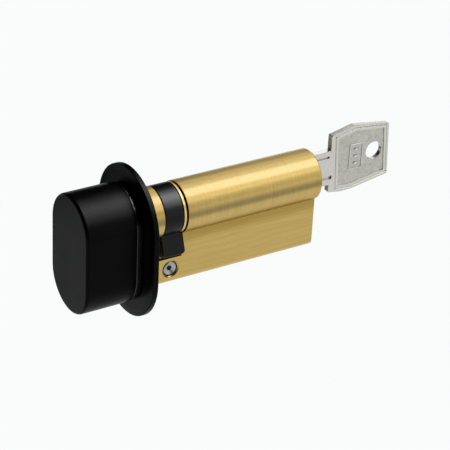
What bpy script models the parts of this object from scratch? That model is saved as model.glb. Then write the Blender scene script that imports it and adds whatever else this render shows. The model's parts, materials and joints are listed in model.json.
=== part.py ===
"""Euro-profile lock cylinder, worked by a key at one end and a black oval thumb turn at the other.

Metres, +Z up. The lock axis is the X axis, with the key at +X, and the fixing screw crosses it at X = 0.
Four groups of pieces move as one each: the housing, the thumb turn with its cam, the plug and the key.
"""

import math

import bmesh
import bpy
from mathutils import Matrix, Vector

MM = 0.001

# Driving dimensions: the euro-profile housing.
BARREL_RADIUS = 8.5 * MM
STEM_HALF_WIDTH = 5.0 * MM
STEM_BOTTOM = -24.5 * MM
STEM_CORNER = 2.4 * MM
STEM_FILLET = 0.8 * MM
HOUSING_END = 54.0 * MM
HOUSING_START = -11.5 * MM
END_CHAMFER = 0.3 * MM
SLOT_START = -4.4 * MM
SLOT_END = 4.0 * MM
SLOT_FLOOR = -15.1 * MM
FIXING_HOLE_Z = -19.0 * MM
FIXING_HOLE_RADIUS = 2.65 * MM
FIXING_HOLE_MOUTH = 3.05 * MM
FIXING_SCREW_RECESS = 0.35 * MM
FIXING_SCREW_CHAMFER = 0.35 * MM
HEX_SOCKET_RADIUS = 1.25 * MM
HEX_SOCKET_DEPTH = 2.4 * MM

# The plug and what runs in it.
PLUG_RADIUS = 6.5 * MM
PLUG_START = 2.5 * MM
PLUG_SHOULDER = 3.7 * MM
PLUG_CHAMFER = 0.25 * MM
SPIGOT_RADIUS = 5.85 * MM
RETAINING_RING_START = 2.55 * MM
RETAINING_RING_END = 3.4 * MM
RETAINING_RING_BORE = 6.05 * MM
RETAINING_RING_EDGE = 0.08 * MM
RUNNING_GAP = 0.15 * MM
TOUCHING_GAP = 0.3 * MM
KEYWAY_HALF_WIDTH = 1.55 * MM
KEYWAY_TOP = 5.7 * MM
KEYWAY_BOTTOM = -4.8 * MM
KEYWAY_START = 20.6 * MM
CLUTCH_BORE_RADIUS = 3.3 * MM
CLUTCH_BORE_END = 12.5 * MM
PUSH_ROD_RADIUS = 1.3 * MM
PUSH_ROD_END = 19.9 * MM
PUSH_ROD_TIP = 0.3 * MM
CLUTCH_DISC_START = 2.6 * MM
CLUTCH_DISC_END = 4.6 * MM
CLUTCH_DISC_RADIUS = 3.0 * MM
TONGUE_START = -1.1 * MM
TONGUE_HALF_THICKNESS = 1.1 * MM
TONGUE_HALF_WIDTH = 2.7 * MM
CLUTCH_SPRING_RADIUS = 2.2 * MM
CLUTCH_SPRING_WIRE = 0.3 * MM
ANTI_DRILL_PLACE = (4.2 * MM, 1.5 * MM)
ANTI_DRILL_START = 50.2 * MM
ANTI_DRILL_RADIUS = 0.85 * MM
PIN_COUNT = 6
FIRST_PIN_X = 48.5 * MM
PIN_PITCH = 4.0 * MM
PIN_RADIUS = 1.35 * MM
CHAMBER_RADIUS = 1.5 * MM
FIRST_CUT = -3.9 * MM
CUT_STEP = 0.6 * MM
KEY_PIN_TIP_RADIUS = 0.5 * MM
KEY_PIN_TIP_LENGTH = 0.6 * MM
KEY_PIN_LIFT = 0.2 * MM
SHEAR_GAP = 0.1 * MM
DRIVER_LENGTH = 4.6 * MM
DRIVER_CHAMFER = 0.2 * MM
PIN_SPRING_RADIUS = 0.95 * MM
PIN_SPRING_WIRE = 0.18 * MM
SPRING_GAP = 0.25 * MM
CHAMBER_PLUG_LENGTH = 2.0 * MM

# The key: blade, neck and bow.
KEY_THICKNESS = 2.2 * MM
BLADE_THICKNESS = 2.0 * MM
BLADE_TOP = 5.4 * MM
BLADE_BOTTOM = -4.5 * MM
BLADE_TIP = 21.9 * MM
BLADE_POINT = 2.6 * MM
BLADE_NOSE_Z = 1.8 * MM
CUT_HALF_FLAT = 0.9 * MM
NECK_START = 54.35 * MM
NECK_TOP = 6.9 * MM
NECK_BOTTOM = -5.7 * MM
KEY_EDGE = 0.25 * MM
BOW_START = 61.9 * MM
BOW_OUTLINE = [
    (61.9, 12.1),
    (70.9, 14.15),
    (84.8, 12.15),
    (85.8, -6.65),
    (71.5, -9.1),
    (67.0, -9.2),
    (61.9, -8.45),
]
PANEL_OUTLINE = [
    (64.2, 10.65),
    (71.3, 12.1),
    (82.95, 10.75),
    (84.0, -4.65),
    (70.4, -7.15),
    (65.7, -6.8),
]
BOW_CORNER = 0.5 * MM
PANEL_CORNER = 0.4 * MM
PANEL_DEPTH = 0.3 * MM
RING_HOLE_CENTRE = (79.5 * MM, 3.15 * MM)
RING_HOLE_RADIUS = 3.15 * MM
RING_HOLE_FLARE = 0.35 * MM
LABEL_CENTRE = (72.2 * MM, 2.7 * MM)
LABEL_SIZE = (5.5 * MM, 9.3 * MM)
LABEL_LINE = 0.5 * MM
LABEL_BAR_SIZE = (2.6 * MM, 1.3 * MM)
LABEL_BAR_PITCH = 2.4 * MM
# Each groove of the blade: its name, side, lower and upper edge, depth and end, in millimetres.
BLADE_GROOVES = (
    ("upper", -1, 4.3, 5.05, 0.5, 61.5),
    ("lower", -1, -3.5, -2.2, 0.6, 62.9),
    ("far", 1, 0.4, 1.8, 0.6, 61.5),
)

# The rose, the thumb turn and its spindle.
OVAL_CENTRE_Z = -7.65 * MM
ROSE_HALF_WIDTH = 18.0 * MM
ROSE_HALF_STRAIGHT = 7.2 * MM
ROSE_BACK = -11.85 * MM
ROSE_RIM_FRONT = -13.6 * MM
ROSE_EDGE = 0.25 * MM
# Each step in from the rim of the rose: how far in, and how far forward.
ROSE_STEPS = ((1.0 * MM, 0.05 * MM), (1.8 * MM, 0.2 * MM))
ROSE_FRONT = ROSE_RIM_FRONT - 0.25 * MM
ROSE_POCKET_FLOOR = -12.9 * MM
ROSE_POCKET_RADIUS = 7.7 * MM
ROSE_SCREW_HEIGHTS = (-11.3 * MM, -20.0 * MM)
ROSE_SCREW_RADIUS = 1.05 * MM
ROSE_SCREW_HEAD = 2.6 * MM
ROSE_SCREW_TIP = -5.5 * MM
ROSE_SCREW_POINT = 0.6 * MM
ROSE_SCREW_CLEARANCE = 0.35 * MM
ROSE_SCREW_SLOT = 0.35 * MM
KNOB_HALF_WIDTH = 11.75 * MM
KNOB_HALF_STRAIGHT = 8.27 * MM
KNOB_FRONT = -33.3 * MM
KNOB_BACK = -16.1 * MM
KNOB_WALL = 2.2 * MM
KNOB_EDGE = 1.0 * MM
BASE_PLATE_FRONT = -16.0 * MM
BASE_PLATE_BACK = -14.15 * MM
BASE_PLATE_INSET = 0.2 * MM
BOSS_RADIUS = 7.3 * MM
KNOB_SCREW_X = -23.0 * MM
KNOB_SCREW_RADIUS = 1.45 * MM
KNOB_SCREW_END = 8.2 * MM
KNOB_SCREW_SOCKET = 0.8 * MM
KNOB_SCREW_SOCKET_DEPTH = 1.3 * MM
SPINDLE_RADIUS = 5.0 * MM
SPINDLE_TIP = -28.2 * MM
SPINDLE_END = 2.25 * MM
SPINDLE_CHAMFER = 0.4 * MM
SPINDLE_FLAT = 4.6 * MM
SPINDLE_FLAT_HALF_LENGTH = 2.2 * MM
DRIVE_RADIUS = 4.7 * MM
DRIVE_HALF_FLAT = 3.9 * MM
# Each groove of the spindle: its start, end and floor radius.
KNOB_CLIP_GROOVE = (-13.95 * MM, -13.15 * MM, 4.3 * MM)
SEAL_GROOVE = (-8.8 * MM, -7.2 * MM, 4.1 * MM)
CAM_CLIP_GROOVE = (1.3 * MM, 2.1 * MM, 3.6 * MM)
CLIP_THICKNESS = 0.6 * MM
CLIP_OPENING = 20.0
KNOB_CLIP_RADIUS = 7.0 * MM
CAM_CLIP_RADIUS = 5.9 * MM
SEAL_RADIUS = 0.42 * MM
SEAL_CENTRE = (-8.0 * MM, 4.6 * MM)
CLUTCH_SLOT_START = -1.5 * MM
CLUTCH_SLOT_HALF_WIDTH = 1.35 * MM

# The cam that throws the bolt.
CAM_RADIUS = 8.3 * MM
CAM_START = -4.15 * MM
CAM_RING_END = 2.25 * MM
LEVER_END = 3.8 * MM
LEVER_RADIUS = 14.95 * MM
LEVER_HALF_WIDTH = 2.8 * MM
LEVER_CORNER = 0.8 * MM
LEVER_FILLET = 1.8 * MM
LEVER_TIP_ROUND = 0.9 * MM
LEVER_TIP_SKIM = 0.03 * MM
LEVER_ANGLE = math.radians(20.0)
CAM_EDGE = 0.35 * MM
CAM_POCKET_FLOOR = 1.2 * MM
CAM_POCKET_RADIUS = 6.5 * MM
FIT_GAP = 0.1 * MM

# Cutters run past what they cut.
PAST = 1.0 * MM
FAR = 12.0 * MM

# Local Z runs along world X, local X along world Y and local Y along world Z.
ALONG_X = (math.pi / 2, 0.0, math.pi / 2)
# Local Z runs along world -Y, so an outline is drawn in world X and Z.
ALONG_Y = (math.pi / 2, 0.0, 0.0)
ALONG_Z = (0.0, 0.0, 0.0)

SMOOTH_BELOW = math.radians(35.0)
WELD = 1e-7

for leftover in list(bpy.data.objects):
    bpy.data.objects.remove(leftover, do_unlink=True)

parts = bpy.data.collections.new("thumb_turn_lock_cylinder")
cutters = bpy.data.collections.new("cutters")
cutters.hide_render = True
bpy.context.scene.collection.children.link(parts)
bpy.context.scene.collection.children.link(cutters)


def make_material(name, colour, metallic, roughness):
    material = bpy.data.materials.new(name)
    material.use_nodes = True
    shader = material.node_tree.nodes["Principled BSDF"]
    shader.inputs["Base Color"].default_value = (*colour, 1.0)
    shader.inputs["Metallic"].default_value = metallic
    shader.inputs["Roughness"].default_value = roughness
    material.diffuse_color = (*colour, 1.0)
    return material


BRASS = make_material("satin_brass", (0.62, 0.44, 0.17), 1.0, 0.33)
BLACK = make_material("black_coating", (0.012, 0.012, 0.012), 0.0, 0.45)
CAM_BLACK = make_material("cam_black", (0.02, 0.02, 0.022), 0.4, 0.4)
NICKEL = make_material("nickel_silver", (0.50, 0.48, 0.43), 1.0, 0.35)
STEEL = make_material("bright_steel", (0.60, 0.60, 0.60), 1.0, 0.25)
SPRING_STEEL = make_material("spring_steel", (0.42, 0.42, 0.43), 1.0, 0.3)
RUBBER = make_material("black_rubber", (0.02, 0.02, 0.02), 0.0, 0.8)


def make_frame(name):
    """An empty on the lock axis that a group of pieces is parented to."""
    frame = bpy.data.objects.new(name, None)
    frame.empty_display_size = 10 * MM
    parts.objects.link(frame)
    return frame


HOUSING = make_frame("housing_frame")
TURN = make_frame("turn_axis")
PLUG = make_frame("plug_axis")
KEY = make_frame("key_slide_axis")


def add_object(name, mesh, material, parent, location=(0, 0, 0), rotation=ALONG_Z):
    """Links a mesh as a visible piece, or as a cutter where it has no material."""
    obj = bpy.data.objects.new(name, mesh)
    obj.location = location
    obj.rotation_euler = rotation
    if material is None:
        cutters.objects.link(obj)
        obj.hide_render = True
        obj.display_type = "WIRE"
        return obj
    mesh.materials.append(material)
    parts.objects.link(obj)
    obj.parent = parent
    return obj


def smooth(obj):
    obj.data.shade_smooth()
    obj.data.set_sharp_from_angle(angle=SMOOTH_BELOW)
    return obj


def mesh_of(name, build):
    """A mesh filled by the function build, which is given an empty BMesh."""
    mesh = bpy.data.meshes.new(name)
    work = bmesh.new()
    build(work)
    bmesh.ops.recalc_face_normals(work, faces=work.faces)
    work.to_mesh(mesh)
    work.free()
    return mesh


def rod(
    name, start, end, radius, segments=16, material=None, parent=None, rotation=ALONG_X, across=(0.0, 0.0)
):
    """A cylinder from start to end along one axis, at the place across on the other two."""
    length = end - start

    def build(work):
        bmesh.ops.create_cone(
            work, cap_ends=True, segments=segments, radius1=radius, radius2=radius, depth=length
        )
        bmesh.ops.translate(work, verts=work.verts, vec=(0.0, 0.0, length / 2))

    first, second = across
    if rotation == ALONG_X:
        location = (start, first, second)
    elif rotation == ALONG_Y:
        location = (first, end, second)
    else:
        location = (first, second, start)
    return smooth(add_object(name, mesh_of(name, build), material, parent, location, rotation))


def box(name, low, high, material=None, parent=None):
    middle = (Vector(low) + Vector(high)) / 2
    size = Vector(high) - Vector(low)

    def build(work):
        bmesh.ops.create_cube(work, size=1.0, matrix=Matrix.Diagonal((*size, 1.0)))

    return add_object(name, mesh_of(name, build), material, parent, middle)


def turned(
    name, profile, segments=48, material=None, parent=None, rotation=ALONG_X, location=(0, 0, 0), ring=False
):
    """Turns a profile of (along, radius) points, in order of falling along, about the local Z axis.

    A ring's profile is closed, and goes down its outer side and back up its inner side.
    """
    mesh = bpy.data.meshes.new(name)
    points = [(radius, 0.0, along) for along, radius in profile]
    edges = [(i, i + 1) for i in range(len(points) - 1)]
    if ring:
        edges.append((len(points) - 1, 0))
    mesh.from_pydata(points, edges, [])
    obj = add_object(name, mesh, material, parent, location, rotation)
    screw = obj.modifiers.new("turn", "SCREW")
    screw.axis = "Z"
    screw.angle = 2 * math.pi
    screw.steps = segments
    screw.render_steps = segments
    screw.use_merge_vertices = True
    screw.merge_threshold = 1e-6
    return obj


def arc(centre, radius, start, end, steps):
    """Points from angle start to angle end, in degrees, both included."""
    angles = [math.radians(start + (end - start) * i / steps) for i in range(steps + 1)]
    return [(centre[0] + radius * math.cos(a), centre[1] + radius * math.sin(a)) for a in angles]


def outline_mesh(name, outlines, thickness):
    """A flat outline, with holes where there is more than one loop, given a thickness and made a mesh."""
    curve = bpy.data.curves.new(name, "CURVE")
    curve.dimensions = "2D"
    curve.fill_mode = "BOTH"
    curve.extrude = thickness / 2
    for outline in outlines:
        spline = curve.splines.new("POLY")
        spline.points.add(len(outline) - 1)
        spline.use_cyclic_u = True
        for point, (across, up) in zip(spline.points, outline):
            point.co = (across, up, 0.0, 1.0)
    source = bpy.data.objects.new(name, curve)
    parts.objects.link(source)
    bpy.context.view_layer.update()
    graph = bpy.context.evaluated_depsgraph_get()
    mesh = bpy.data.meshes.new_from_object(source.evaluated_get(graph))
    bpy.data.objects.remove(source, do_unlink=True)
    bpy.data.curves.remove(curve)
    work = bmesh.new()
    work.from_mesh(mesh)
    bmesh.ops.remove_doubles(work, verts=work.verts, dist=WELD)
    bmesh.ops.dissolve_limit(work, angle_limit=math.radians(0.5), verts=work.verts, edges=work.edges)
    bmesh.ops.recalc_face_normals(work, faces=work.faces)
    work.to_mesh(mesh)
    work.free()
    mesh.name = name
    return mesh


def plate(name, outlines, start, end, material=None, parent=None, rotation=ALONG_X):
    """An outline that fills the stretch from start to end: along X, or along Y for one drawn in X and Z."""
    mesh = outline_mesh(name, outlines, end - start)
    middle = (start + end) / 2
    location = (middle, 0.0, 0.0) if rotation == ALONG_X else (0.0, middle, 0.0)
    return smooth(add_object(name, mesh, material, parent, location, rotation))


def boolean(obj, operation, *others):
    for other in others:
        modifier = obj.modifiers.new(other.name, "BOOLEAN")
        modifier.operation = operation
        modifier.object = other
        modifier.solver = "EXACT"
    return obj


def cut(obj, *others):
    return boolean(obj, "DIFFERENCE", *others)


def rim_bevel(obj, heights, width, segments):
    """Rounds the outer edge of the caps at these local heights."""
    work = bmesh.new()
    work.from_mesh(obj.data)
    weight = work.edges.layers.float.new("bevel_weight_edge")
    for edge in work.edges:
        low, high = sorted(vertex.co.z for vertex in edge.verts)
        at_cap = any(abs(low - height) < WELD and abs(high - height) < WELD for height in heights)
        if at_cap and edge.calc_face_angle(0.0) > math.radians(60):
            edge[weight] = 1.0
    work.to_mesh(obj.data)
    work.free()
    bevel = obj.modifiers.new("rim", "BEVEL")
    bevel.limit_method = "WEIGHT"
    bevel.width = width
    bevel.segments = segments
    return obj


def oval(half_width, half_straight, steps=20):
    """Two half circles joined by straight sides, in Y and Z, about the knob's middle."""
    top = arc((0.0, OVAL_CENTRE_Z + half_straight), half_width, 0.0, 180.0, steps)
    bottom = arc((0.0, OVAL_CENTRE_Z - half_straight), half_width, 180.0, 360.0, steps)
    return top + bottom


def euro_profile():
    """The housing's section in Y and Z: a round barrel that runs into a stem through small fillets."""
    corner_centre = (STEM_HALF_WIDTH - STEM_CORNER, STEM_BOTTOM + STEM_CORNER)
    fillet_y = STEM_HALF_WIDTH + STEM_FILLET
    fillet_z = -math.sqrt((BARREL_RADIUS + STEM_FILLET) ** 2 - fillet_y**2)
    tangent = math.degrees(math.atan2(fillet_z, fillet_y))
    right = arc(corner_centre, STEM_CORNER, -90.0, 0.0, 4)
    right += arc((fillet_y, fillet_z), STEM_FILLET, 180.0, 180.0 + tangent, 3)
    right += arc((0.0, 0.0), BARREL_RADIUS, tangent, 90.0, 22)[1:]
    left = [(-across, up) for across, up in reversed(right[:-1])]
    return right + left


def make_housing():
    body = plate("cylinder_body", [euro_profile()], HOUSING_START, HOUSING_END, BRASS, HOUSING)
    rim_bevel(body, [(HOUSING_END - HOUSING_START) / 2], END_CHAMFER, 2)
    slot = box("cam_slot", (SLOT_START, -FAR, SLOT_FLOOR), (SLOT_END, FAR, FAR))
    plug_bore = rod("plug_bore", 0.0, HOUSING_END + PAST, PLUG_RADIUS + RUNNING_GAP, 48)
    spindle_bore = rod("spindle_bore", HOUSING_START - PAST, 0.0, SPINDLE_RADIUS + RUNNING_GAP, 40)
    half = STEM_HALF_WIDTH
    mouth_depth = FIXING_HOLE_MOUTH - FIXING_HOLE_RADIUS
    fixing_hole = turned(
        "fixing_hole",
        [
            (half + mouth_depth, 0.0),
            (half + mouth_depth, FIXING_HOLE_MOUTH + mouth_depth),
            (half - mouth_depth, FIXING_HOLE_RADIUS),
            (mouth_depth - half, FIXING_HOLE_RADIUS),
            (-half - mouth_depth, FIXING_HOLE_MOUTH + mouth_depth),
            (-half - mouth_depth, 0.0),
        ],
        segments=28,
        rotation=ALONG_Y,
        location=(0.0, 0.0, FIXING_HOLE_Z),
    )
    cut(body, slot, plug_bore, spindle_bore, fixing_hole)
    for number in range(PIN_COUNT):
        chamber = rod(
            f"housing_chamber_{number + 1}",
            STEM_BOTTOM - PAST,
            -PLUG_RADIUS + PAST,
            CHAMBER_RADIUS,
            rotation=ALONG_Z,
            across=(pin_x(number), 0.0),
        )
        cut(body, chamber)
    for number, height in enumerate(ROSE_SCREW_HEIGHTS):
        hole = rod(
            f"rose_screw_hole_{number + 1}",
            HOUSING_START - PAST,
            ROSE_SCREW_TIP + TOUCHING_GAP,
            ROSE_SCREW_RADIUS + RUNNING_GAP,
            12,
            across=(0.0, height),
        )
        cut(body, hole)


def make_fixing_screw():
    """A short socket set screw that closes the fixing hole, a little below the stem's face at both ends."""
    end = STEM_HALF_WIDTH - FIXING_SCREW_RECESS
    chamfer = FIXING_SCREW_CHAMFER
    radius = FIXING_HOLE_RADIUS - RUNNING_GAP
    profile = [
        (end, 0.0),
        (end, radius - chamfer),
        (end - chamfer, radius),
        (chamfer - end, radius),
        (-end, radius - chamfer),
        (-end, 0.0),
    ]
    screw = turned(
        "fixing_set_screw", profile, 28, STEEL, HOUSING, ALONG_Y, (0.0, 0.0, FIXING_HOLE_Z)
    )
    sockets = (
        ("socket_near", -end - PAST, HEX_SOCKET_DEPTH - end),
        ("socket_far", end - HEX_SOCKET_DEPTH, end + PAST),
    )
    for name, start, finish in sockets:
        place = (0.0, FIXING_HOLE_Z)
        cut(screw, rod(name, start, finish, HEX_SOCKET_RADIUS, 6, rotation=ALONG_Y, across=place))


def make_rose():
    """The oval rose: a plate with a rounded edge whose front steps up from a rim to a flat field."""
    thickness = ROSE_BACK - ROSE_RIM_FRONT
    mesh = outline_mesh("rose", [oval(ROSE_HALF_WIDTH, ROSE_HALF_STRAIGHT, 24)], thickness)
    work = bmesh.new()
    work.from_mesh(mesh)
    front = min(work.faces, key=lambda face: face.calc_center_median().z)
    for inset, rise in ROSE_STEPS:
        bmesh.ops.inset_region(work, faces=[front], thickness=inset)
        bmesh.ops.translate(work, verts=front.verts, vec=(0.0, 0.0, -rise))
    work.to_mesh(mesh)
    work.free()
    middle = (ROSE_BACK + ROSE_RIM_FRONT) / 2
    rose = smooth(add_object("rose", mesh, BLACK, HOUSING, (middle, 0.0, 0.0), ALONG_X))
    rim_bevel(rose, [-thickness / 2], ROSE_EDGE, 3)
    before = ROSE_FRONT - PAST
    spindle_hole = rod("rose_spindle_hole", before, ROSE_BACK + PAST, SPINDLE_RADIUS + TOUCHING_GAP, 40)
    clip_pocket = rod("clip_pocket", before, ROSE_POCKET_FLOOR, ROSE_POCKET_RADIUS, 40)
    cut(rose, spindle_hole, clip_pocket)
    for number, height in enumerate(ROSE_SCREW_HEIGHTS):
        make_rose_screw(rose, number + 1, height)


def make_rose_screw(rose, number, height):
    """A countersunk screw through the rose, with a straight slot, and the hole it sits in."""
    place = (0.0, 0.0, height)
    head_slope = ROSE_SCREW_HEAD - ROSE_SCREW_RADIUS
    head_front = ROSE_FRONT + FIT_GAP
    hole_radius = ROSE_SCREW_RADIUS + ROSE_SCREW_CLEARANCE
    hole = [
        (ROSE_BACK + PAST, 0.0),
        (ROSE_BACK + PAST, hole_radius),
        (ROSE_FRONT + head_slope, hole_radius),
        (ROSE_FRONT - PAST, hole_radius + head_slope + PAST),
        (ROSE_FRONT - PAST, 0.0),
    ]
    cut(rose, turned(f"rose_countersink_{number}", hole, 20, location=place))
    screw = [
        (ROSE_SCREW_TIP, 0.0),
        (ROSE_SCREW_TIP, ROSE_SCREW_POINT),
        (ROSE_SCREW_TIP - ROSE_SCREW_POINT, ROSE_SCREW_RADIUS),
        (head_front + head_slope, ROSE_SCREW_RADIUS),
        (head_front, ROSE_SCREW_HEAD),
        (head_front, 0.0),
    ]
    head = turned(f"rose_screw_{number}", screw, 20, STEEL, HOUSING, location=place)
    across = ROSE_SCREW_SLOT
    reach = ROSE_SCREW_HEAD + PAST
    low = (head_front - PAST, -across, height - reach)
    high = (head_front + 2 * across, across, height + reach)
    cut(head, box(f"rose_screw_slot_{number}", low, high))


def pin_x(number):
    return FIRST_PIN_X - number * PIN_PITCH


def make_pins():
    """Each chamber holds a key pin on its cut, a driver below the shear line, a spring and a plug."""
    shear = -PLUG_RADIUS
    driver_top = shear - TOUCHING_GAP - SHEAR_GAP / 2
    driver_bottom = driver_top - DRIVER_LENGTH
    closing_top = STEM_BOTTOM + CHAMBER_PLUG_LENGTH
    driver = [
        (driver_top, 0.0),
        (driver_top, PIN_RADIUS - DRIVER_CHAMFER),
        (driver_top - DRIVER_CHAMFER, PIN_RADIUS),
        (driver_bottom, PIN_RADIUS),
        (driver_bottom, 0.0),
    ]
    for number in range(PIN_COUNT):
        label = number + 1
        place = (pin_x(number), 0.0, 0.0)
        tip = FIRST_CUT + number * CUT_STEP - KEY_PIN_LIFT
        key_pin = [
            (tip, 0.0),
            (tip, KEY_PIN_TIP_RADIUS),
            (tip - KEY_PIN_TIP_LENGTH, PIN_RADIUS),
            (shear + SHEAR_GAP, PIN_RADIUS),
            (shear + SHEAR_GAP, 0.0),
        ]
        turned(f"key_pin_{label}", key_pin, 14, BRASS, PLUG, ALONG_Z, place)
        turned(f"driver_pin_{label}", driver, 14, STEEL, HOUSING, ALONG_Z, place)
        spring_ends = (closing_top + SPRING_GAP, driver_bottom - SPRING_GAP)
        coil_spring(
            f"pin_spring_{label}",
            spring_ends,
            PIN_SPRING_RADIUS,
            PIN_SPRING_WIRE,
            4,
            HOUSING,
            place,
            ALONG_Z,
        )
        rod(
            f"chamber_plug_{label}",
            STEM_BOTTOM + FIT_GAP,
            closing_top,
            CHAMBER_RADIUS - FIT_GAP,
            14,
            BRASS,
            HOUSING,
            ALONG_Z,
            (pin_x(number), 0.0),
        )


def coil_spring(name, ends, radius, wire, turns, parent, location, rotation):
    """A coil of round wire about the local Z axis, between two ends over its wire's outside."""
    steps = 7
    curve = bpy.data.curves.new(name, "CURVE")
    curve.dimensions = "3D"
    curve.bevel_depth = wire
    curve.bevel_resolution = 2
    curve.use_fill_caps = True
    spline = curve.splines.new("POLY")
    count = turns * steps + 1
    spline.points.add(count - 1)
    low = ends[0] + wire
    rise = ends[1] - ends[0] - 2 * wire
    for i, point in enumerate(spline.points):
        angle = 2 * math.pi * i / steps
        point.co = (radius * math.cos(angle), radius * math.sin(angle), low + rise * i / (count - 1), 1.0)
    curve.materials.append(SPRING_STEEL)
    obj = bpy.data.objects.new(name, curve)
    obj.location = location
    obj.rotation_euler = rotation
    parts.objects.link(obj)
    obj.parent = parent
    return obj


def make_plug():
    """The round plug: a spigot for its retaining ring, the keyway, the pin holes and the clutch bore."""
    profile = [
        (HOUSING_END, 0.0),
        (HOUSING_END, PLUG_RADIUS - PLUG_CHAMFER),
        (HOUSING_END - PLUG_CHAMFER, PLUG_RADIUS),
        (PLUG_SHOULDER, PLUG_RADIUS),
        (PLUG_SHOULDER, SPIGOT_RADIUS),
        (PLUG_START, SPIGOT_RADIUS),
        (PLUG_START, 0.0),
    ]
    plug = turned("plug", profile, 48, BRASS, PLUG)
    keyway = box(
        "keyway",
        (KEYWAY_START, -KEYWAY_HALF_WIDTH, KEYWAY_BOTTOM),
        (HOUSING_END + PAST, KEYWAY_HALF_WIDTH, KEYWAY_TOP),
    )
    clutch_bore = rod("clutch_bore", 0.0, CLUTCH_BORE_END, CLUTCH_BORE_RADIUS, 24)
    bore_radius = PUSH_ROD_RADIUS + RUNNING_GAP
    rod_bore = rod("push_rod_bore", CLUTCH_BORE_END - PAST, KEYWAY_START + PAST, bore_radius)
    cut(plug, keyway, clutch_bore, rod_bore)
    for number in range(PIN_COUNT):
        pin_hole = rod(
            f"plug_pin_hole_{number + 1}",
            -PLUG_RADIUS - PAST,
            KEYWAY_BOTTOM + PAST / 2,
            CHAMBER_RADIUS,
            rotation=ALONG_Z,
            across=(pin_x(number), 0.0),
        )
        cut(plug, pin_hole)
    across, up = ANTI_DRILL_PLACE
    for side, name in ((-1, "near"), (1, "far")):
        place = (side * across, up)
        start = ANTI_DRILL_START - RUNNING_GAP
        radius = ANTI_DRILL_RADIUS + RUNNING_GAP
        cut(plug, rod(f"anti_drill_hole_{name}", start, HOUSING_END + PAST, radius, 14, across=place))
        rod(
            f"anti_drill_pin_{name}",
            ANTI_DRILL_START,
            HOUSING_END - FIT_GAP,
            ANTI_DRILL_RADIUS,
            14,
            STEEL,
            PLUG,
            across=place,
        )
    start, end, edge = RETAINING_RING_START, RETAINING_RING_END, RETAINING_RING_EDGE
    ring = [
        (end, RETAINING_RING_BORE),
        (end, CAM_RADIUS - edge),
        (end - edge, CAM_RADIUS),
        (start + edge, CAM_RADIUS),
        (start, CAM_RADIUS - edge),
        (start, RETAINING_RING_BORE),
    ]
    turned("plug_retaining_ring", ring, 56, BRASS, PLUG, ring=True)


def make_clutch():
    """A tongue that turns the spindle, on a rod that the key's tip pushes, and its return spring."""
    profile = [
        (PUSH_ROD_END, 0.0),
        (PUSH_ROD_END, PUSH_ROD_RADIUS - PUSH_ROD_TIP),
        (PUSH_ROD_END - PUSH_ROD_TIP, PUSH_ROD_RADIUS),
        (CLUTCH_DISC_END, PUSH_ROD_RADIUS),
        (CLUTCH_DISC_END, CLUTCH_DISC_RADIUS),
        (CLUTCH_DISC_START, CLUTCH_DISC_RADIUS),
        (CLUTCH_DISC_START, 0.0),
    ]
    coupler = turned("clutch_coupler", profile, 24, STEEL, PLUG)
    tongue = box(
        "clutch_tongue",
        (TONGUE_START, -TONGUE_HALF_THICKNESS, -TONGUE_HALF_WIDTH),
        (CLUTCH_DISC_START + PAST / 2, TONGUE_HALF_THICKNESS, TONGUE_HALF_WIDTH),
    )
    boolean(coupler, "UNION", tongue)
    ends = (CLUTCH_DISC_END + TOUCHING_GAP, CLUTCH_BORE_END - TOUCHING_GAP)
    coil_spring(
        "clutch_spring", ends, CLUTCH_SPRING_RADIUS, CLUTCH_SPRING_WIRE, 5, PLUG, (0.0, 0.0, 0.0), ALONG_X
    )


def blade_outline():
    """The blade in X and Z. Its cuts rise towards the tip, so that it can leave the seated pins behind."""
    root = NECK_START + PAST
    upper = [(root, BLADE_TOP), (BLADE_TIP + BLADE_POINT, BLADE_TOP), (BLADE_TIP, BLADE_NOSE_Z)]
    lower = [(root, BLADE_BOTTOM), (pin_x(0) + CHAMBER_RADIUS + PAST / 2, BLADE_BOTTOM)]
    for number in range(PIN_COUNT):
        height = FIRST_CUT + number * CUT_STEP
        lower.append((pin_x(number) + CUT_HALF_FLAT, height))
        lower.append((pin_x(number) - CUT_HALF_FLAT, height))
    lower.append((BLADE_TIP, FIRST_CUT + PIN_COUNT * CUT_STEP))
    return upper + lower[::-1]


def rounded(corners, radius, steps=3):
    """An outline given in millimetres, in metres, with each of its corners rounded off."""
    points = []
    count = len(corners)
    for i in range(count):
        before, corner, after = (Vector(corners[(i + k) % count]) * MM for k in (-1, 0, 1))
        to_before = (before - corner).normalized()
        to_after = (after - corner).normalized()
        half_angle = to_before.angle(to_after) / 2
        if half_angle > math.radians(85):
            points.append(tuple(corner))
            continue
        reach = radius / math.tan(half_angle)
        centre = corner + (to_before + to_after).normalized() * radius / math.sin(half_angle)
        first = corner + to_before * reach - centre
        last = corner + to_after * reach - centre
        turn = first.angle_signed(last)
        for step in range(steps + 1):
            angle = -turn * step / steps
            spoke = Matrix.Rotation(angle, 2) @ first
            points.append(tuple(centre + spoke))
    return points


def rectangle(centre, half_across, half_up):
    low_x, low_z = centre[0] - half_across, centre[1] - half_up
    high_x, high_z = centre[0] + half_across, centre[1] + half_up
    return [(low_x, low_z), (high_x, low_z), (high_x, high_z), (low_x, high_z)]


def label_outlines():
    """The raised frame on the bow, as its outer and inner edges, and the three plain bars inside it."""
    half_x, half_z = LABEL_SIZE[0] / 2, LABEL_SIZE[1] / 2
    outer = rectangle(LABEL_CENTRE, half_x, half_z)
    inner = rectangle(LABEL_CENTRE, half_x - LABEL_LINE, half_z - LABEL_LINE)
    bars = []
    for step in (-1, 0, 1):
        place = (LABEL_CENTRE[0], LABEL_CENTRE[1] + step * LABEL_BAR_PITCH)
        bars.append(rectangle(place, LABEL_BAR_SIZE[0] / 2, LABEL_BAR_SIZE[1] / 2))
    return [outer, inner] + bars


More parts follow.
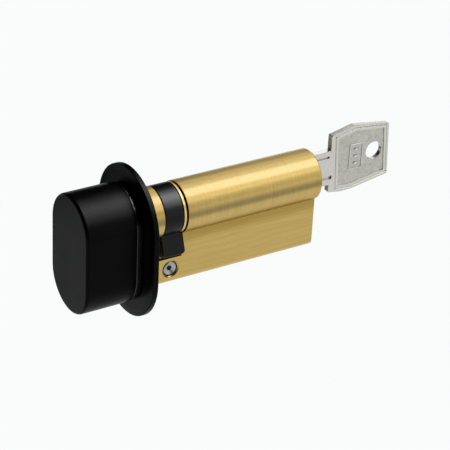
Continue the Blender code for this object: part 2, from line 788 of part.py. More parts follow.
def make_key():
    """The key: a bow with a sunk panel on each side, a neck, and a cut and grooved blade."""
    bow = rounded(BOW_OUTLINE, BOW_CORNER)
    neck = [
        (BOW_START, NECK_BOTTOM),
        (NECK_START, NECK_BOTTOM),
        (NECK_START, NECK_TOP),
        (BOW_START, NECK_TOP),
    ]
    half = KEY_THICKNESS / 2
    key = plate("key", [neck + bow], -half, half, NICKEL, KEY, ALONG_Y)
    rim_bevel(key, [-half, half], KEY_EDGE, 2)
    half_blade = BLADE_THICKNESS / 2
    boolean(key, "UNION", plate("key_blade", [blade_outline()], -half_blade, half_blade, rotation=ALONG_Y))
    flare = RING_HOLE_FLARE
    ring_hole = [
        (half + flare, 0.0),
        (half + flare, RING_HOLE_RADIUS + 2 * flare),
        (half - flare, RING_HOLE_RADIUS),
        (flare - half, RING_HOLE_RADIUS),
        (-half - flare, RING_HOLE_RADIUS + 2 * flare),
        (-half - flare, 0.0),
    ]
    hole_x, hole_z = RING_HOLE_CENTRE
    cut(key, turned("key_ring_hole", ring_hole, 32, rotation=ALONG_Y, location=(hole_x, 0.0, hole_z)))
    panel = rounded(PANEL_OUTLINE, PANEL_CORNER)
    for side, name in ((-1, "front"), (1, "back")):
        low, high = sorted((side * (half + PAST), side * (half - PANEL_DEPTH)))
        cut(key, plate(f"bow_panel_{name}", [panel] + label_outlines(), low, high, rotation=ALONG_Y))
    for name, side, low_z, high_z, depth, end in BLADE_GROOVES:
        low, high = sorted((side * (half + PAST), side * (half_blade - depth * MM)))
        groove = box(
            f"blade_groove_{name}", (BLADE_TIP - PAST, low, low_z * MM), (end * MM, high, high_z * MM)
        )
        cut(key, groove)


def make_knob():
    """The hollow knob, its base plate and the set screw that grips the spindle's flat."""
    outer = oval(KNOB_HALF_WIDTH, KNOB_HALF_STRAIGHT, 24)
    knob = plate("knob_shell", [outer], KNOB_FRONT, KNOB_BACK, BLACK, TURN)
    rim_bevel(knob, [(KNOB_FRONT - KNOB_BACK) / 2], KNOB_EDGE, 3)
    inner = oval(KNOB_HALF_WIDTH - KNOB_WALL, KNOB_HALF_STRAIGHT, 16)
    floor = KNOB_FRONT + KNOB_WALL
    cavity = plate("knob_cavity", [inner], floor, KNOB_BACK + PAST)
    boss = rod("knob_boss", floor - PAST / 2, KNOB_BACK - TOUCHING_GAP, BOSS_RADIUS, 32)
    bore_radius = SPINDLE_RADIUS + RUNNING_GAP
    bore = rod("knob_bore", SPINDLE_TIP - TOUCHING_GAP, KNOB_BACK + PAST, bore_radius, 40)
    cut(knob, cavity)
    boolean(knob, "UNION", boss)
    cut(knob, bore)
    place = (KNOB_SCREW_X, 0.0)
    hole_radius = KNOB_SCREW_RADIUS + RUNNING_GAP
    hole_end = KNOB_HALF_WIDTH + PAST
    hole_start = SPINDLE_FLAT - PAST
    cut(knob, rod("knob_screw_hole", hole_start, hole_end, hole_radius, rotation=ALONG_Y, across=place))
    start, end = SPINDLE_FLAT + FIT_GAP, KNOB_SCREW_END
    screw = rod("knob_set_screw", start, end, KNOB_SCREW_RADIUS, 16, STEEL, TURN, ALONG_Y, place)
    socket_start = end - KNOB_SCREW_SOCKET_DEPTH
    socket = rod(
        "knob_screw_socket", socket_start, end + PAST, KNOB_SCREW_SOCKET, 6, rotation=ALONG_Y, across=place
    )
    cut(screw, socket)
    base_outline = oval(KNOB_HALF_WIDTH - BASE_PLATE_INSET, KNOB_HALF_STRAIGHT, 24)
    base = plate("knob_base_plate", [base_outline], BASE_PLATE_FRONT, BASE_PLATE_BACK, BLACK, TURN)
    cut(base, rod("base_plate_hole", BASE_PLATE_FRONT - PAST, BASE_PLATE_BACK + PAST, bore_radius, 40))


def groove_profile(groove, radius):
    """A groove as four points of a falling profile that runs at this radius."""
    start, end, floor = groove
    return [(end, radius), (end, floor), (start, floor), (start, radius)]


def make_spindle():
    """The stepped spindle: its clips and seal, a flat for the knob's screw and a slot for the clutch."""
    profile = [(SPINDLE_END, 0.0), (SPINDLE_END, DRIVE_RADIUS)]
    profile += groove_profile(CAM_CLIP_GROOVE, DRIVE_RADIUS)
    profile += [(CAM_START, DRIVE_RADIUS), (CAM_START, SPINDLE_RADIUS)]
    profile += groove_profile(SEAL_GROOVE, SPINDLE_RADIUS)
    profile += groove_profile(KNOB_CLIP_GROOVE, SPINDLE_RADIUS)
    profile += [
        (SPINDLE_TIP + SPINDLE_CHAMFER, SPINDLE_RADIUS),
        (SPINDLE_TIP, SPINDLE_RADIUS - SPINDLE_CHAMFER),
        (SPINDLE_TIP, 0.0),
    ]
    spindle = turned("spindle", profile, 32, STEEL, TURN)
    past_end = SPINDLE_END + PAST
    flat = box(
        "spindle_flat",
        (KNOB_SCREW_X - SPINDLE_FLAT_HALF_LENGTH, SPINDLE_FLAT, -FAR),
        (KNOB_SCREW_X + SPINDLE_FLAT_HALF_LENGTH, FAR, FAR),
    )
    cut(spindle, flat)
    for side, name in ((-1, "near"), (1, "far")):
        low, high = sorted((side * DRIVE_HALF_FLAT, side * FAR))
        cut(spindle, box(f"drive_flat_{name}", (CAM_START, low, -FAR), (past_end, high, FAR)))
    half_slot = CLUTCH_SLOT_HALF_WIDTH
    cut(spindle, box("clutch_slot", (CLUTCH_SLOT_START, -half_slot, -FAR), (past_end, half_slot, FAR)))
    clip_ring("spindle_circlip", KNOB_CLIP_GROOVE, KNOB_CLIP_RADIUS)
    clip_ring("cam_circlip", CAM_CLIP_GROOVE, CAM_CLIP_RADIUS)
    seal = arc(SEAL_CENTRE, SEAL_RADIUS, 90.0, 450.0, 8)[:-1]
    turned("spindle_o_ring", seal, 28, RUBBER, TURN, ring=True)


def clip_ring(name, groove, outer):
    """A snap ring in the middle of its groove: a flat ring that is open at the top."""
    groove_start, groove_end, floor = groove
    middle = (groove_start + groove_end) / 2
    first, last = 90.0 + CLIP_OPENING, 450.0 - CLIP_OPENING
    outside = arc((0.0, 0.0), outer, first, last, 28)
    inside = arc((0.0, 0.0), floor + FIT_GAP, last, first, 28)
    half = CLIP_THICKNESS / 2
    plate(name, [outside + inside], middle - half, middle + half, SPRING_STEEL, TURN)


def cam_outline(ring_radius):
    """The cam in Y and Z, with its lever turned from straight down towards -Y."""
    tip_radius = LEVER_RADIUS
    corner_across = LEVER_HALF_WIDTH - LEVER_CORNER
    corner_along = math.sqrt((tip_radius - LEVER_CORNER) ** 2 - corner_across**2)
    corner_angle = math.degrees(math.atan2(corner_across, corner_along))
    fillet_across = LEVER_HALF_WIDTH + LEVER_FILLET
    fillet_along = math.sqrt((ring_radius + LEVER_FILLET) ** 2 - fillet_across**2)
    root_angle = math.degrees(math.atan2(fillet_across, fillet_along))
    half = arc((0.0, 0.0), tip_radius, 0.0, corner_angle, 3)[:-1]
    half += arc((corner_along, corner_across), LEVER_CORNER, corner_angle, 90.0, 5)
    half += arc((fillet_along, fillet_across), LEVER_FILLET, -90.0, root_angle - 180.0, 5)
    half += arc((0.0, 0.0), ring_radius, root_angle, 180.0, 24)[1:]
    other = [(along, -across) for along, across in reversed(half[1:-1])]
    down = Vector((-math.sin(LEVER_ANGLE), -math.cos(LEVER_ANGLE)))
    side = Vector((-math.cos(LEVER_ANGLE), math.sin(LEVER_ANGLE)))
    return [tuple(down * along + side * across) for along, across in half + other]


def make_cam():
    """The cam ring on the spindle's flats, whose lever is longer along the axis than the ring is."""
    cam = plate("cam", [cam_outline(CAM_RADIUS)], CAM_START, LEVER_END, CAM_BLACK, TURN)
    edge = cam.modifiers.new("edge", "BEVEL")
    edge.width = CAM_EDGE
    edge.segments = 2
    edge.limit_method = "ANGLE"
    edge.angle_limit = math.radians(60)
    reach = LEVER_RADIUS + LEVER_TIP_SKIM
    tip = LEVER_TIP_ROUND
    envelope = [(LEVER_END + PAST, 0.0), (LEVER_END + PAST, reach - tip)]
    envelope += [(LEVER_END, reach - tip)]
    envelope += arc((LEVER_END - tip, reach - tip), tip, 0.0, 90.0, 5)[1:]
    envelope += arc((CAM_START + tip, reach - tip), tip, 90.0, 180.0, 5)
    envelope += [(CAM_START - PAST, reach - tip), (CAM_START - PAST, 0.0)]
    boolean(cam, "INTERSECT", turned("lever_tip_envelope", envelope, 96))
    past_lever = LEVER_END + PAST
    relief = rod("cam_relief", CAM_RING_END, past_lever, CAM_RADIUS + TOUCHING_GAP, 56)
    drive_bore = rod("cam_bore", CAM_START - PAST, past_lever, DRIVE_RADIUS + FIT_GAP, 32)
    for side, name in ((-1, "near"), (1, "far")):
        low, high = sorted((side * (DRIVE_HALF_FLAT + FIT_GAP), side * FAR))
        keeper = box(f"cam_bore_flat_{name}", (-FAR, low, -FAR), (FAR, high, FAR))
        cut(drive_bore, keeper)
    clip_pocket = rod("cam_clip_pocket", CAM_POCKET_FLOOR, past_lever, CAM_POCKET_RADIUS, 40)
    cut(cam, relief, drive_bore, clip_pocket)


make_housing()
make_fixing_screw()
make_rose()
make_pins()
make_plug()
make_clutch()
make_key()
make_knob()
make_spindle()
make_cam()
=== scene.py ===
"""Looks for the thumb turn lock cylinder: fine surfaces, materials, studio light and the camera.

Metres, +Z up."""

import json
import math

import bmesh
import bpy
from mathutils import Matrix, Vector

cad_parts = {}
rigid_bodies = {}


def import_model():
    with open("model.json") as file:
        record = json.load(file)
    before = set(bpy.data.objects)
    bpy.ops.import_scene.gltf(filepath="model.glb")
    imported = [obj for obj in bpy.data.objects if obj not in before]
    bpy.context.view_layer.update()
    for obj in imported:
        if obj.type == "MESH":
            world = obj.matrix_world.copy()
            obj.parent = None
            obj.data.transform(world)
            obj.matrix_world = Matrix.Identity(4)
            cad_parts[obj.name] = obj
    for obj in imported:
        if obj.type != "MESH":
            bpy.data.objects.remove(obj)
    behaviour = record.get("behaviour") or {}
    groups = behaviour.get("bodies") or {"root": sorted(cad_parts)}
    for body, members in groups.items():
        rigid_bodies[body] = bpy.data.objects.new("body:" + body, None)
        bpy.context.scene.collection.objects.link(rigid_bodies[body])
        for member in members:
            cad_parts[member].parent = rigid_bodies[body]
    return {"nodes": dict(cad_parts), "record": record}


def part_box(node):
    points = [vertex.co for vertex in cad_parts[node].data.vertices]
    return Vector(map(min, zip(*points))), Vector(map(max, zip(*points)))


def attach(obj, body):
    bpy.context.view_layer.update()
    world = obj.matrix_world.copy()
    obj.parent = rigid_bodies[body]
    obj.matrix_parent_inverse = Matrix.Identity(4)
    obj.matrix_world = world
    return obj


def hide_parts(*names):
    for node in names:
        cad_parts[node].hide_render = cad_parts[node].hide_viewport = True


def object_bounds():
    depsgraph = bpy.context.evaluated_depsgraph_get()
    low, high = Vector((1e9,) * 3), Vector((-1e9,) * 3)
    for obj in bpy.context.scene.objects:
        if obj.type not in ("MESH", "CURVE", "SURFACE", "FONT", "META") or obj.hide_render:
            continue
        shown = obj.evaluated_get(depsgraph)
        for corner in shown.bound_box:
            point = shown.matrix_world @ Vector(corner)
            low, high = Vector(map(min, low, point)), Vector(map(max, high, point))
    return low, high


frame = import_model()
cad_low, cad_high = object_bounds()

MM = 0.001
PLANE_TOLERANCE = 1e-6

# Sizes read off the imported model.
housing_low, housing_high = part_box("cylinder_body")
BARREL_RADIUS = housing_high.z
STEM_BOTTOM = housing_low.z
HOUSING_START = housing_low.x
HOUSING_END = housing_high.x
rose_low, rose_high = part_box("rose")
knob_low, knob_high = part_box("knob_shell")
base_low, base_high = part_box("knob_base_plate")
cam_low, cam_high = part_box("cam")
ring_low, ring_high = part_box("plug_retaining_ring")
key_low, key_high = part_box("key")
plug_low, plug_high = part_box("plug")
screw_low, screw_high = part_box("fixing_set_screw")

# The housing's section, cuts and pin chambers.
STEM_HALF_WIDTH = 5.0 * MM
STEM_CORNER = 2.4 * MM
STEM_FILLET = 0.8 * MM
SLOT_START = -4.4 * MM
SLOT_END = 4.0 * MM
SLOT_FLOOR = -15.1 * MM
FIXING_HOLE_Z = (screw_low.z + screw_high.z) / 2
FIXING_HOLE_RADIUS = 2.65 * MM
FIXING_HOLE_MOUTH = 3.05 * MM
PLUG_BORE = 6.65 * MM
SPINDLE_BORE = 5.15 * MM
CHAMBER_TOP = -5.5 * MM
PIN_COUNT = 6
FIRST_PIN_X = 48.5 * MM
PIN_PITCH = 4.0 * MM
CHAMBER_RADIUS = 1.5 * MM
SLOT_REACH = 12.0 * MM
SLOT_EDGE = 0.12 * MM
HOUSING_EDGE = 0.3 * MM

# The set screw in the fixing hole.
SCREW_CHAMFER = 0.35 * MM
SCREW_DISH = 0.8 * MM
SCREW_SOCKET_DEPTH = 2.4 * MM
SCREW_SOCKET_RADIUS = 0.95 * MM

# The plug, its keyway and bores, and its ring.
PLUG_SHOULDER = 3.7 * MM
KEYWAY_LOW = (20.6 * MM, -1.55 * MM, -4.8 * MM)
KEYWAY_TOP = 5.7 * MM
PLUG_SPIGOT_RADIUS = 5.85 * MM
PLUG_CHAMFER = 0.25 * MM
CLUTCH_BORE_END = 12.5 * MM
CLUTCH_BORE_RADIUS = 3.3 * MM
PUSH_ROD_BORE = (11.5 * MM, 21.6 * MM)
PUSH_ROD_BORE_RADIUS = 1.45 * MM
DRILL_PIN_START = 50.0 * MM
DRILL_PIN_PLACE = (4.2 * MM, 1.5 * MM)
DRILL_PIN_RADIUS = 1.0 * MM
PIN_HOLE = (-7.5 * MM, -4.4 * MM)
RING_BORE_RADIUS = 6.05 * MM
RING_ROUND = 0.1 * MM

# The rose: each step in from its rim, as how far in and how far forward.
ROSE_STEPS = ((1.0 * MM, 0.05 * MM), (0.9 * MM, 0.14 * MM), (0.9 * MM, 0.06 * MM))
ROSE_EDGE = 0.25 * MM
ROSE_BACK_EDGE = 0.2 * MM
ROSE_BORE = 5.3 * MM
ROSE_POCKET_FLOOR = -12.9 * MM
ROSE_POCKET_RADIUS = 7.7 * MM

# The knob's walls, edges and bores.
KNOB_WALL = 2.2 * MM
KNOB_EDGE = 1.0 * MM
KNOB_BACK_EDGE = 0.15 * MM
KNOB_BOSS_RADIUS = 7.3 * MM
KNOB_BOSS_SETBACK = 0.4 * MM
KNOB_BORE_START = -28.5 * MM
KNOB_SCREW_X = -23.0 * MM
KNOB_SCREW_START = 3.0 * MM
KNOB_SCREW_RADIUS = 1.6 * MM
BASE_EDGE = 0.2 * MM

# The cam's outline.
CAM_RADIUS = cam_high.z
CAM_RING_END = 2.25 * MM
LEVER_RADIUS = 14.95 * MM
LEVER_HALF_WIDTH = 2.8 * MM
LEVER_CORNER = 0.8 * MM
LEVER_FILLET = 1.8 * MM
LEVER_ANGLE = math.radians(20.0)
LEVER_TIP_ROUND = 1.5 * MM
LEVER_TIP_SKIM = 0.01 * MM
CAM_EDGE = 0.3 * MM
CAM_BORE = 4.8 * MM
CAM_POCKET_START = 1.2 * MM
CAM_POCKET_RADIUS = 6.5 * MM

# The key.
BLADE_THICKNESS = 2.0 * MM
BLADE_TOP = 5.4 * MM
BLADE_BOTTOM = -4.5 * MM
FIRST_CUT = -3.9 * MM
CUT_STEP = 0.6 * MM
CUT_HALF_WIDTH = 0.9 * MM
LAND_BEFORE_CUTS = 2.2 * MM
TIP_SLOPE = 2.6 * MM
TIP_HEIGHT = 1.8 * MM
KEY_EDGE = 0.18 * MM
NECK_START = 54.35 * MM
NECK_TOP = 6.9 * MM
NECK_BOTTOM = -5.7 * MM
BOW_START = 61.9 * MM
BOW_CORNER = 0.5 * MM
# Corners in millimetres, in X and Z.
BOW_OUTLINE = [
    (61.9, 12.1),
    (70.9, 14.15),
    (84.8, 12.15),
    (85.8, -6.65),
    (71.5, -9.1),
    (67.0, -9.2),
    (61.9, -8.45),
]
PANEL_OUTLINE = [
    (64.6, 10.65),
    (71.3, 12.1),
    (82.95, 10.9),
    (84.0, -4.85),
    (70.4, -7.2),
    (65.7, -6.9),
]
PANEL_CORNER = 0.35 * MM
PANEL_DEPTH = 0.3 * MM
PANEL_SLOPE = 0.35
GROOVE_OFFSET = 1.0 * MM
GROOVE_HALF_WIDTH = 0.2 * MM
GROOVE_DEPTH = 0.24 * MM
RING_HOLE_CENTRE = (79.5 * MM, 3.15 * MM)
RING_HOLE_RADIUS = 3.15 * MM
RING_HOLE_FLARE = 0.35 * MM
LABEL_CENTRE = (72.2 * MM, 2.7 * MM)
LABEL_SIZE = (5.5 * MM, 9.3 * MM)
LABEL_LINE = 0.5 * MM
LABEL_CORNER = 0.2 * MM
LABEL_DEPTH = 0.06 * MM
LABEL_ROOT = 0.1 * MM
# The flat top of the label's frame, in half line widths from its middle.
LABEL_FLAT = (0.4, -0.6)
LABEL_MARK = (2.6 * MM, 1.6 * MM)
LABEL_MARK_PITCH = 2.5 * MM
MARK_TAPER = 0.18 * MM
MARK_TOP_CORNER = 0.15 * MM
MARK_SETBACK = 0.04 * MM
# Each groove of the blade: its side, lower and upper edge, depth and end, in millimetres.
BLADE_GROOVES = (
    (-1, 4.3, 5.05, 0.5, 61.5),
    (-1, -3.5, -2.2, 0.6, 62.9),
    (1, 0.4, 1.8, 0.6, 61.5),
)

# The brass: its lacquer's weight, its tint at grazing angles, and the heights between which its
# brushing turns from round the barrel to lengthwise.
LACQUER = 1.0
EDGE_TINT = (1.0, 0.85, 0.55, 1.0)
BRUSHING_TURNS = (-7.2 * MM, -7.6 * MM)
# Its two bands of painted shade, one across the middle of the barrel and one over the crease where the barrel
# meets the stem: how dark each is, and the heights where it starts, is full and ends.
SEAM_PAINTED_SHADE = 0.5
SEAM_SHADE_BAND = (-1.1 * MM, 0.1 * MM, 1.0 * MM, 2.6 * MM)
CREASE_PAINTED_SHADE = 0.27
CREASE_SHADE_BAND = (-11.4 * MM, -8.6 * MM, -5.4 * MM, -2.6 * MM)
# The depths under the key's faces between which the metal turns from darker and grainy to smooth; the
# darkening is partly the metal's grain and partly painted shade in the bow's recesses.
SHADED_GRAINY_DEPTH = 0.22 * MM
SMOOTH_DEPTH = 0.12 * MM

# Edges sharper than these angles are bevelled, or stay sharp in the shading.
BEVEL_ABOVE = math.radians(50.0)
SHARP_ABOVE = math.radians(32.0)

# The camera, where the picture was taken from.
CAMERA_PLACE = Vector((-0.25765, -0.43105, 0.27109))
CAMERA_AZIMUTH = math.radians(-33.057)
CAMERA_ELEVATION = math.radians(28.776)
CAMERA_ROLL = math.radians(2.910)
CAMERA_LENS = 146.38
SENSOR_WIDTH = 36.0
FLOOR_Z = -0.075
FLOOR_DEPTH = 0.01
ROOM = 3.0
CARD_LIFT = 0.001
DARK_CARDS = (((-0.055, 0.07), (0.03, 0.22)), ((-0.12, 0.14), (-0.055, 0.25)))

WORLD_STRENGTH = 0.005

# Soft boxes: name, direction from the object, distance, size, radiance and colour.
WHITE = (1.0, 1.0, 1.0)
COOL_WHITE = (0.90, 0.99, 1.45)
WARM_WHITE = (1.0, 0.97, 0.8)
SHARED_LIGHTS = (
    ("overhead_front", (0.48, -0.55, 0.68), 0.9, (0.45, 0.45), 1.5, WHITE),
    ("overhead_middle", (0.48, 0.15, 0.86), 0.9, (0.45, 0.45), 1.0, WHITE),
    ("overhead_back", (0.48, 0.45, 0.75), 0.9, (0.45, 0.45), 0.8, WHITE),
    ("overhead_left", (-0.10, 0.40, 0.90), 0.9, (0.45, 0.45), 1.2, WHITE),
    ("front_wall", (0.60, -0.80, 0.25), 1.0, (0.90, 0.60), 1.05, WHITE),
)
BRASS_LIGHTS = (
    ("brass_overhead", (0.48, -0.20, 0.85), 0.9, (0.45, 0.45), 2.6, COOL_WHITE),
    ("brass_back", (0.58, 0.76, 0.28), 1.2, (1.40, 0.45), 0.55, WARM_WHITE),
)
SILVER_LIGHTS = (
    ("silver_overhead", (0.48, -0.20, 0.85), 0.9, (0.45, 0.45), 2.4, WHITE),
    ("silver_back", (0.58, 0.76, 0.28), 1.2, (1.40, 0.45), 1.6, WHITE),
)
BLACK_LIGHTS = (
    ("hero", (0.48, -0.20, 0.85), 0.9, (0.45, 0.45), 21.0, WHITE),
    ("hero_front", (0.48, -0.55, 0.68), 0.9, (0.45, 0.45), 10.0, WHITE),
    ("hero_back", (0.48, 0.15, 0.86), 0.9, (0.45, 0.45), 6.0, WHITE),
    ("hero_low", (0.48, -0.87, 0.08), 1.0, (0.50, 0.25), 2.5, WHITE),
)


# Mesh helpers.


def link(name, data):
    obj = bpy.data.objects.new(name, data)
    bpy.context.scene.collection.objects.link(obj)
    return obj


def solid(name, work):
    """An object that takes over the bmesh work, which is freed."""
    mesh = bpy.data.meshes.new(name)
    work.to_mesh(mesh)
    work.free()
    return link(name, mesh)


def arc(centre, radius, start, end, steps):
    """Points from angle start to angle end, in degrees, both included."""
    angles = [math.radians(start + (end - start) * i / steps) for i in range(steps + 1)]
    return [(centre[0] + radius * math.cos(a), centre[1] + radius * math.sin(a)) for a in angles]


def prism(name, outline, start, end, along="X"):
    """An outline in Y and Z that is extruded along X, or one in X and Z that is extruded along Y."""
    work = bmesh.new()
    if along == "X":
        corners = [work.verts.new((start, u, v)) for u, v in outline]
        step = Vector((end - start, 0.0, 0.0))
    else:
        corners = [work.verts.new((u, start, v)) for u, v in outline]
        step = Vector((0.0, end - start, 0.0))
    face = work.faces.new(corners)
    made = bmesh.ops.extrude_face_region(work, geom=[face])
    moved = [item for item in made["geom"] if isinstance(item, bmesh.types.BMVert)]
    bmesh.ops.translate(work, verts=moved, vec=step)
    bmesh.ops.recalc_face_normals(work, faces=work.faces)
    return solid(name, work)


def box(name, low, high):
    middle = (Vector(low) + Vector(high)) / 2
    size = Vector(high) - Vector(low)
    work = bmesh.new()
    place = Matrix.Translation(middle) @ Matrix.Diagonal((*size, 1.0))
    bmesh.ops.create_cube(work, size=1.0, matrix=place)
    return solid(name, work)


def turned(name, profile, segments, axis="X", centre=(0.0, 0.0, 0.0), closed=False):
    """A profile of (along, radius) points turned about an axis. A closed profile makes a ring."""
    work = bmesh.new()
    verts = [work.verts.new((along, radius, 0.0)) for along, radius in profile]
    edges = [work.edges.new(pair) for pair in zip(verts, verts[1:])]
    if closed:
        edges.append(work.edges.new((verts[-1], verts[0])))
    bmesh.ops.spin(
        work,
        geom=verts + edges,
        cent=(0.0, 0.0, 0.0),
        axis=(1.0, 0.0, 0.0),
        angle=2 * math.pi,
        steps=segments,
        use_merge=True,
        use_duplicate=False,
    )
    bmesh.ops.remove_doubles(work, verts=work.verts, dist=1e-7)
    bmesh.ops.recalc_face_normals(work, faces=work.faces)
    turn = {
        "X": Matrix.Identity(4),
        "Y": Matrix.Rotation(math.pi / 2, 4, "Z"),
        "Z": Matrix.Rotation(-math.pi / 2, 4, "Y"),
    }
    bmesh.ops.transform(work, matrix=Matrix.Translation(centre) @ turn[axis], verts=work.verts)
    return solid(name, work)


def rod(name, start, end, radius, segments, axis="X", centre=(0.0, 0.0, 0.0)):
    profile = [(start, 0.0), (start, radius), (end, radius), (end, 0.0)]
    return turned(name, profile, segments, axis, centre)


def boolean(obj, operation, *others):
    """Cuts or joins with the EXACT solver, applies it, and removes the other shapes."""
    for other in others:
        modifier = obj.modifiers.new("boolean", "BOOLEAN")
        modifier.operation = operation
        modifier.object = other
        modifier.solver = "EXACT"
    apply_modifiers(obj)
    for other in others:
        bpy.data.objects.remove(other, do_unlink=True)


def cut(obj, *others):
    boolean(obj, "DIFFERENCE", *others)


def apply_modifiers(obj):
    bpy.context.view_layer.update()
    graph = bpy.context.evaluated_depsgraph_get()
    mesh = bpy.data.meshes.new_from_object(obj.evaluated_get(graph))
    obj.modifiers.clear()
    obj.data = mesh


def bevel(obj, width, segments, chosen):
    """Rounds the sharp edges that the test chosen picks by their two end points."""
    work = bmesh.new()
    work.from_mesh(obj.data)
    layers = work.edges.layers.float
    weight = layers.get("bevel_weight_edge") or layers.new("bevel_weight_edge")
    for edge in work.edges:
        sharp = len(edge.link_faces) == 2 and edge.calc_face_angle(0.0) > BEVEL_ABOVE
        edge[weight] = 1.0 if sharp and chosen(*(vertex.co for vertex in edge.verts)) else 0.0
    work.to_mesh(obj.data)
    work.free()
    modifier = obj.modifiers.new("bevel", "BEVEL")
    modifier.limit_method = "WEIGHT"
    modifier.width = width
    modifier.segments = segments
    apply_modifiers(obj)


def on_plane(axis, *places):
    """A test for edges that lie on a plane where this coordinate is one of the places."""

    def chosen(first, second):
        ends = (first[axis], second[axis])
        return any(all(abs(end - place) < PLANE_TOLERANCE for end in ends) for place in places)

    return chosen


def finish_piece(obj, material, body, slot, *nodes):
    """Shades, paints and mounts a piece that stands for these CAD nodes."""
    obj.data.materials.clear()
    obj.data.materials.append(material)
    obj.data.shade_smooth()
    obj.data.set_sharp_from_angle(angle=SHARP_ABOVE)
    modifier = obj.modifiers.new("weighted_normals", "WEIGHTED_NORMAL")
    modifier.keep_sharp = True
    modifier.weight = 100
    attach(obj, body)
    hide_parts(*nodes)


# Materials.


def new_material(name, colour, metallic, roughness, **inputs):
    material = bpy.data.materials.new(name)
    material.use_nodes = True
    shader = material.node_tree.nodes["Principled BSDF"]
    shader.inputs["Base Color"].default_value = (*colour, 1.0)
    shader.inputs["Metallic"].default_value = metallic
    shader.inputs["Roughness"].default_value = roughness
    for label, value in inputs.items():
        shader.inputs[label.replace("_", " ")].default_value = value
    return material, shader


class Nodes:
    """Short calls for the few node types that the materials here use."""

    def __init__(self, material):
        self.tree = material.node_tree
        self.place = self.tree.nodes.new("ShaderNodeTexCoord").outputs["Object"]

    def join(self, source, target):
        self.tree.links.new(source, target)

    def put(self, socket, value):
        if isinstance(value, bpy.types.NodeSocket):
            self.join(value, socket)
        else:
            socket.default_value = value

    def math(self, operation, first, second=0.0):
        node = self.tree.nodes.new("ShaderNodeMath")
        node.operation = operation
        self.put(node.inputs[0], first)
        self.put(node.inputs[1], second)
        return node.outputs[0]

    def axes(self):
        node = self.tree.nodes.new("ShaderNodeSeparateXYZ")
        self.join(self.place, node.inputs[0])
        return node.outputs

    def vector(self, x, y, z):
        node = self.tree.nodes.new("ShaderNodeCombineXYZ")
        for socket, value in zip(node.inputs, (x, y, z)):
            self.put(socket, value)
        return node.outputs[0]

    def scaled(self, x, y, z):
        """The object's own coordinates, stretched by these factors."""
        node = self.tree.nodes.new("ShaderNodeMapping")
        self.join(self.place, node.inputs["Vector"])
        node.inputs["Scale"].default_value = (x, y, z)
        return node.outputs[0]

    def noise(self, vector, scale, detail, roughness=0.55):
        node = self.tree.nodes.new("ShaderNodeTexNoise")
        self.join(vector, node.inputs["Vector"])
        node.inputs["Scale"].default_value = scale
        node.inputs["Detail"].default_value = detail
        node.inputs["Roughness"].default_value = roughness
        return node.outputs["Fac"]

    def ranged(self, value, low, high, to_low, to_high):
        node = self.tree.nodes.new("ShaderNodeMapRange")
        self.join(value, node.inputs["Value"])
        labels = ("From Min", "From Max", "To Min", "To Max")
        for label, number in zip(labels, (low, high, to_low, to_high)):
            node.inputs[label].default_value = number
        return node.outputs["Result"]

    def band(self, value, start, full_from, full_to, end):
        """One from full_from to full_to, and fading to zero at start and end."""
        rise = self.ranged(value, start, full_from, 0.0, 1.0)
        return self.math("MULTIPLY", rise, self.ranged(value, full_to, end, 1.0, 0.0))

    def mix(self, factor, first, second):
        """Mixes two numbers."""
        node = self.tree.nodes.new("ShaderNodeMix")
        self.put(node.inputs["Factor"], factor)
        self.put(node.inputs["A"], first)
        self.put(node.inputs["B"], second)
        return node.outputs["Result"]

    def colours(self, factor, first, second):
        node = self.tree.nodes.new("ShaderNodeMix")
        node.data_type = "RGBA"
        self.put(node.inputs["Factor"], factor)
        self.put(node.inputs[6], (*first, 1.0) if isinstance(first, tuple) else first)
        self.put(node.inputs[7], (*second, 1.0) if isinstance(second, tuple) else second)
        return node.outputs[2]

    def bump(self, height, strength, distance, under=None):
        node = self.tree.nodes.new("ShaderNodeBump")
        node.inputs["Strength"].default_value = strength
        node.inputs["Distance"].default_value = distance
        self.join(height, node.inputs["Height"])
        if under is not None:
            self.join(under, node.inputs["Normal"])
        return node.outputs[0]


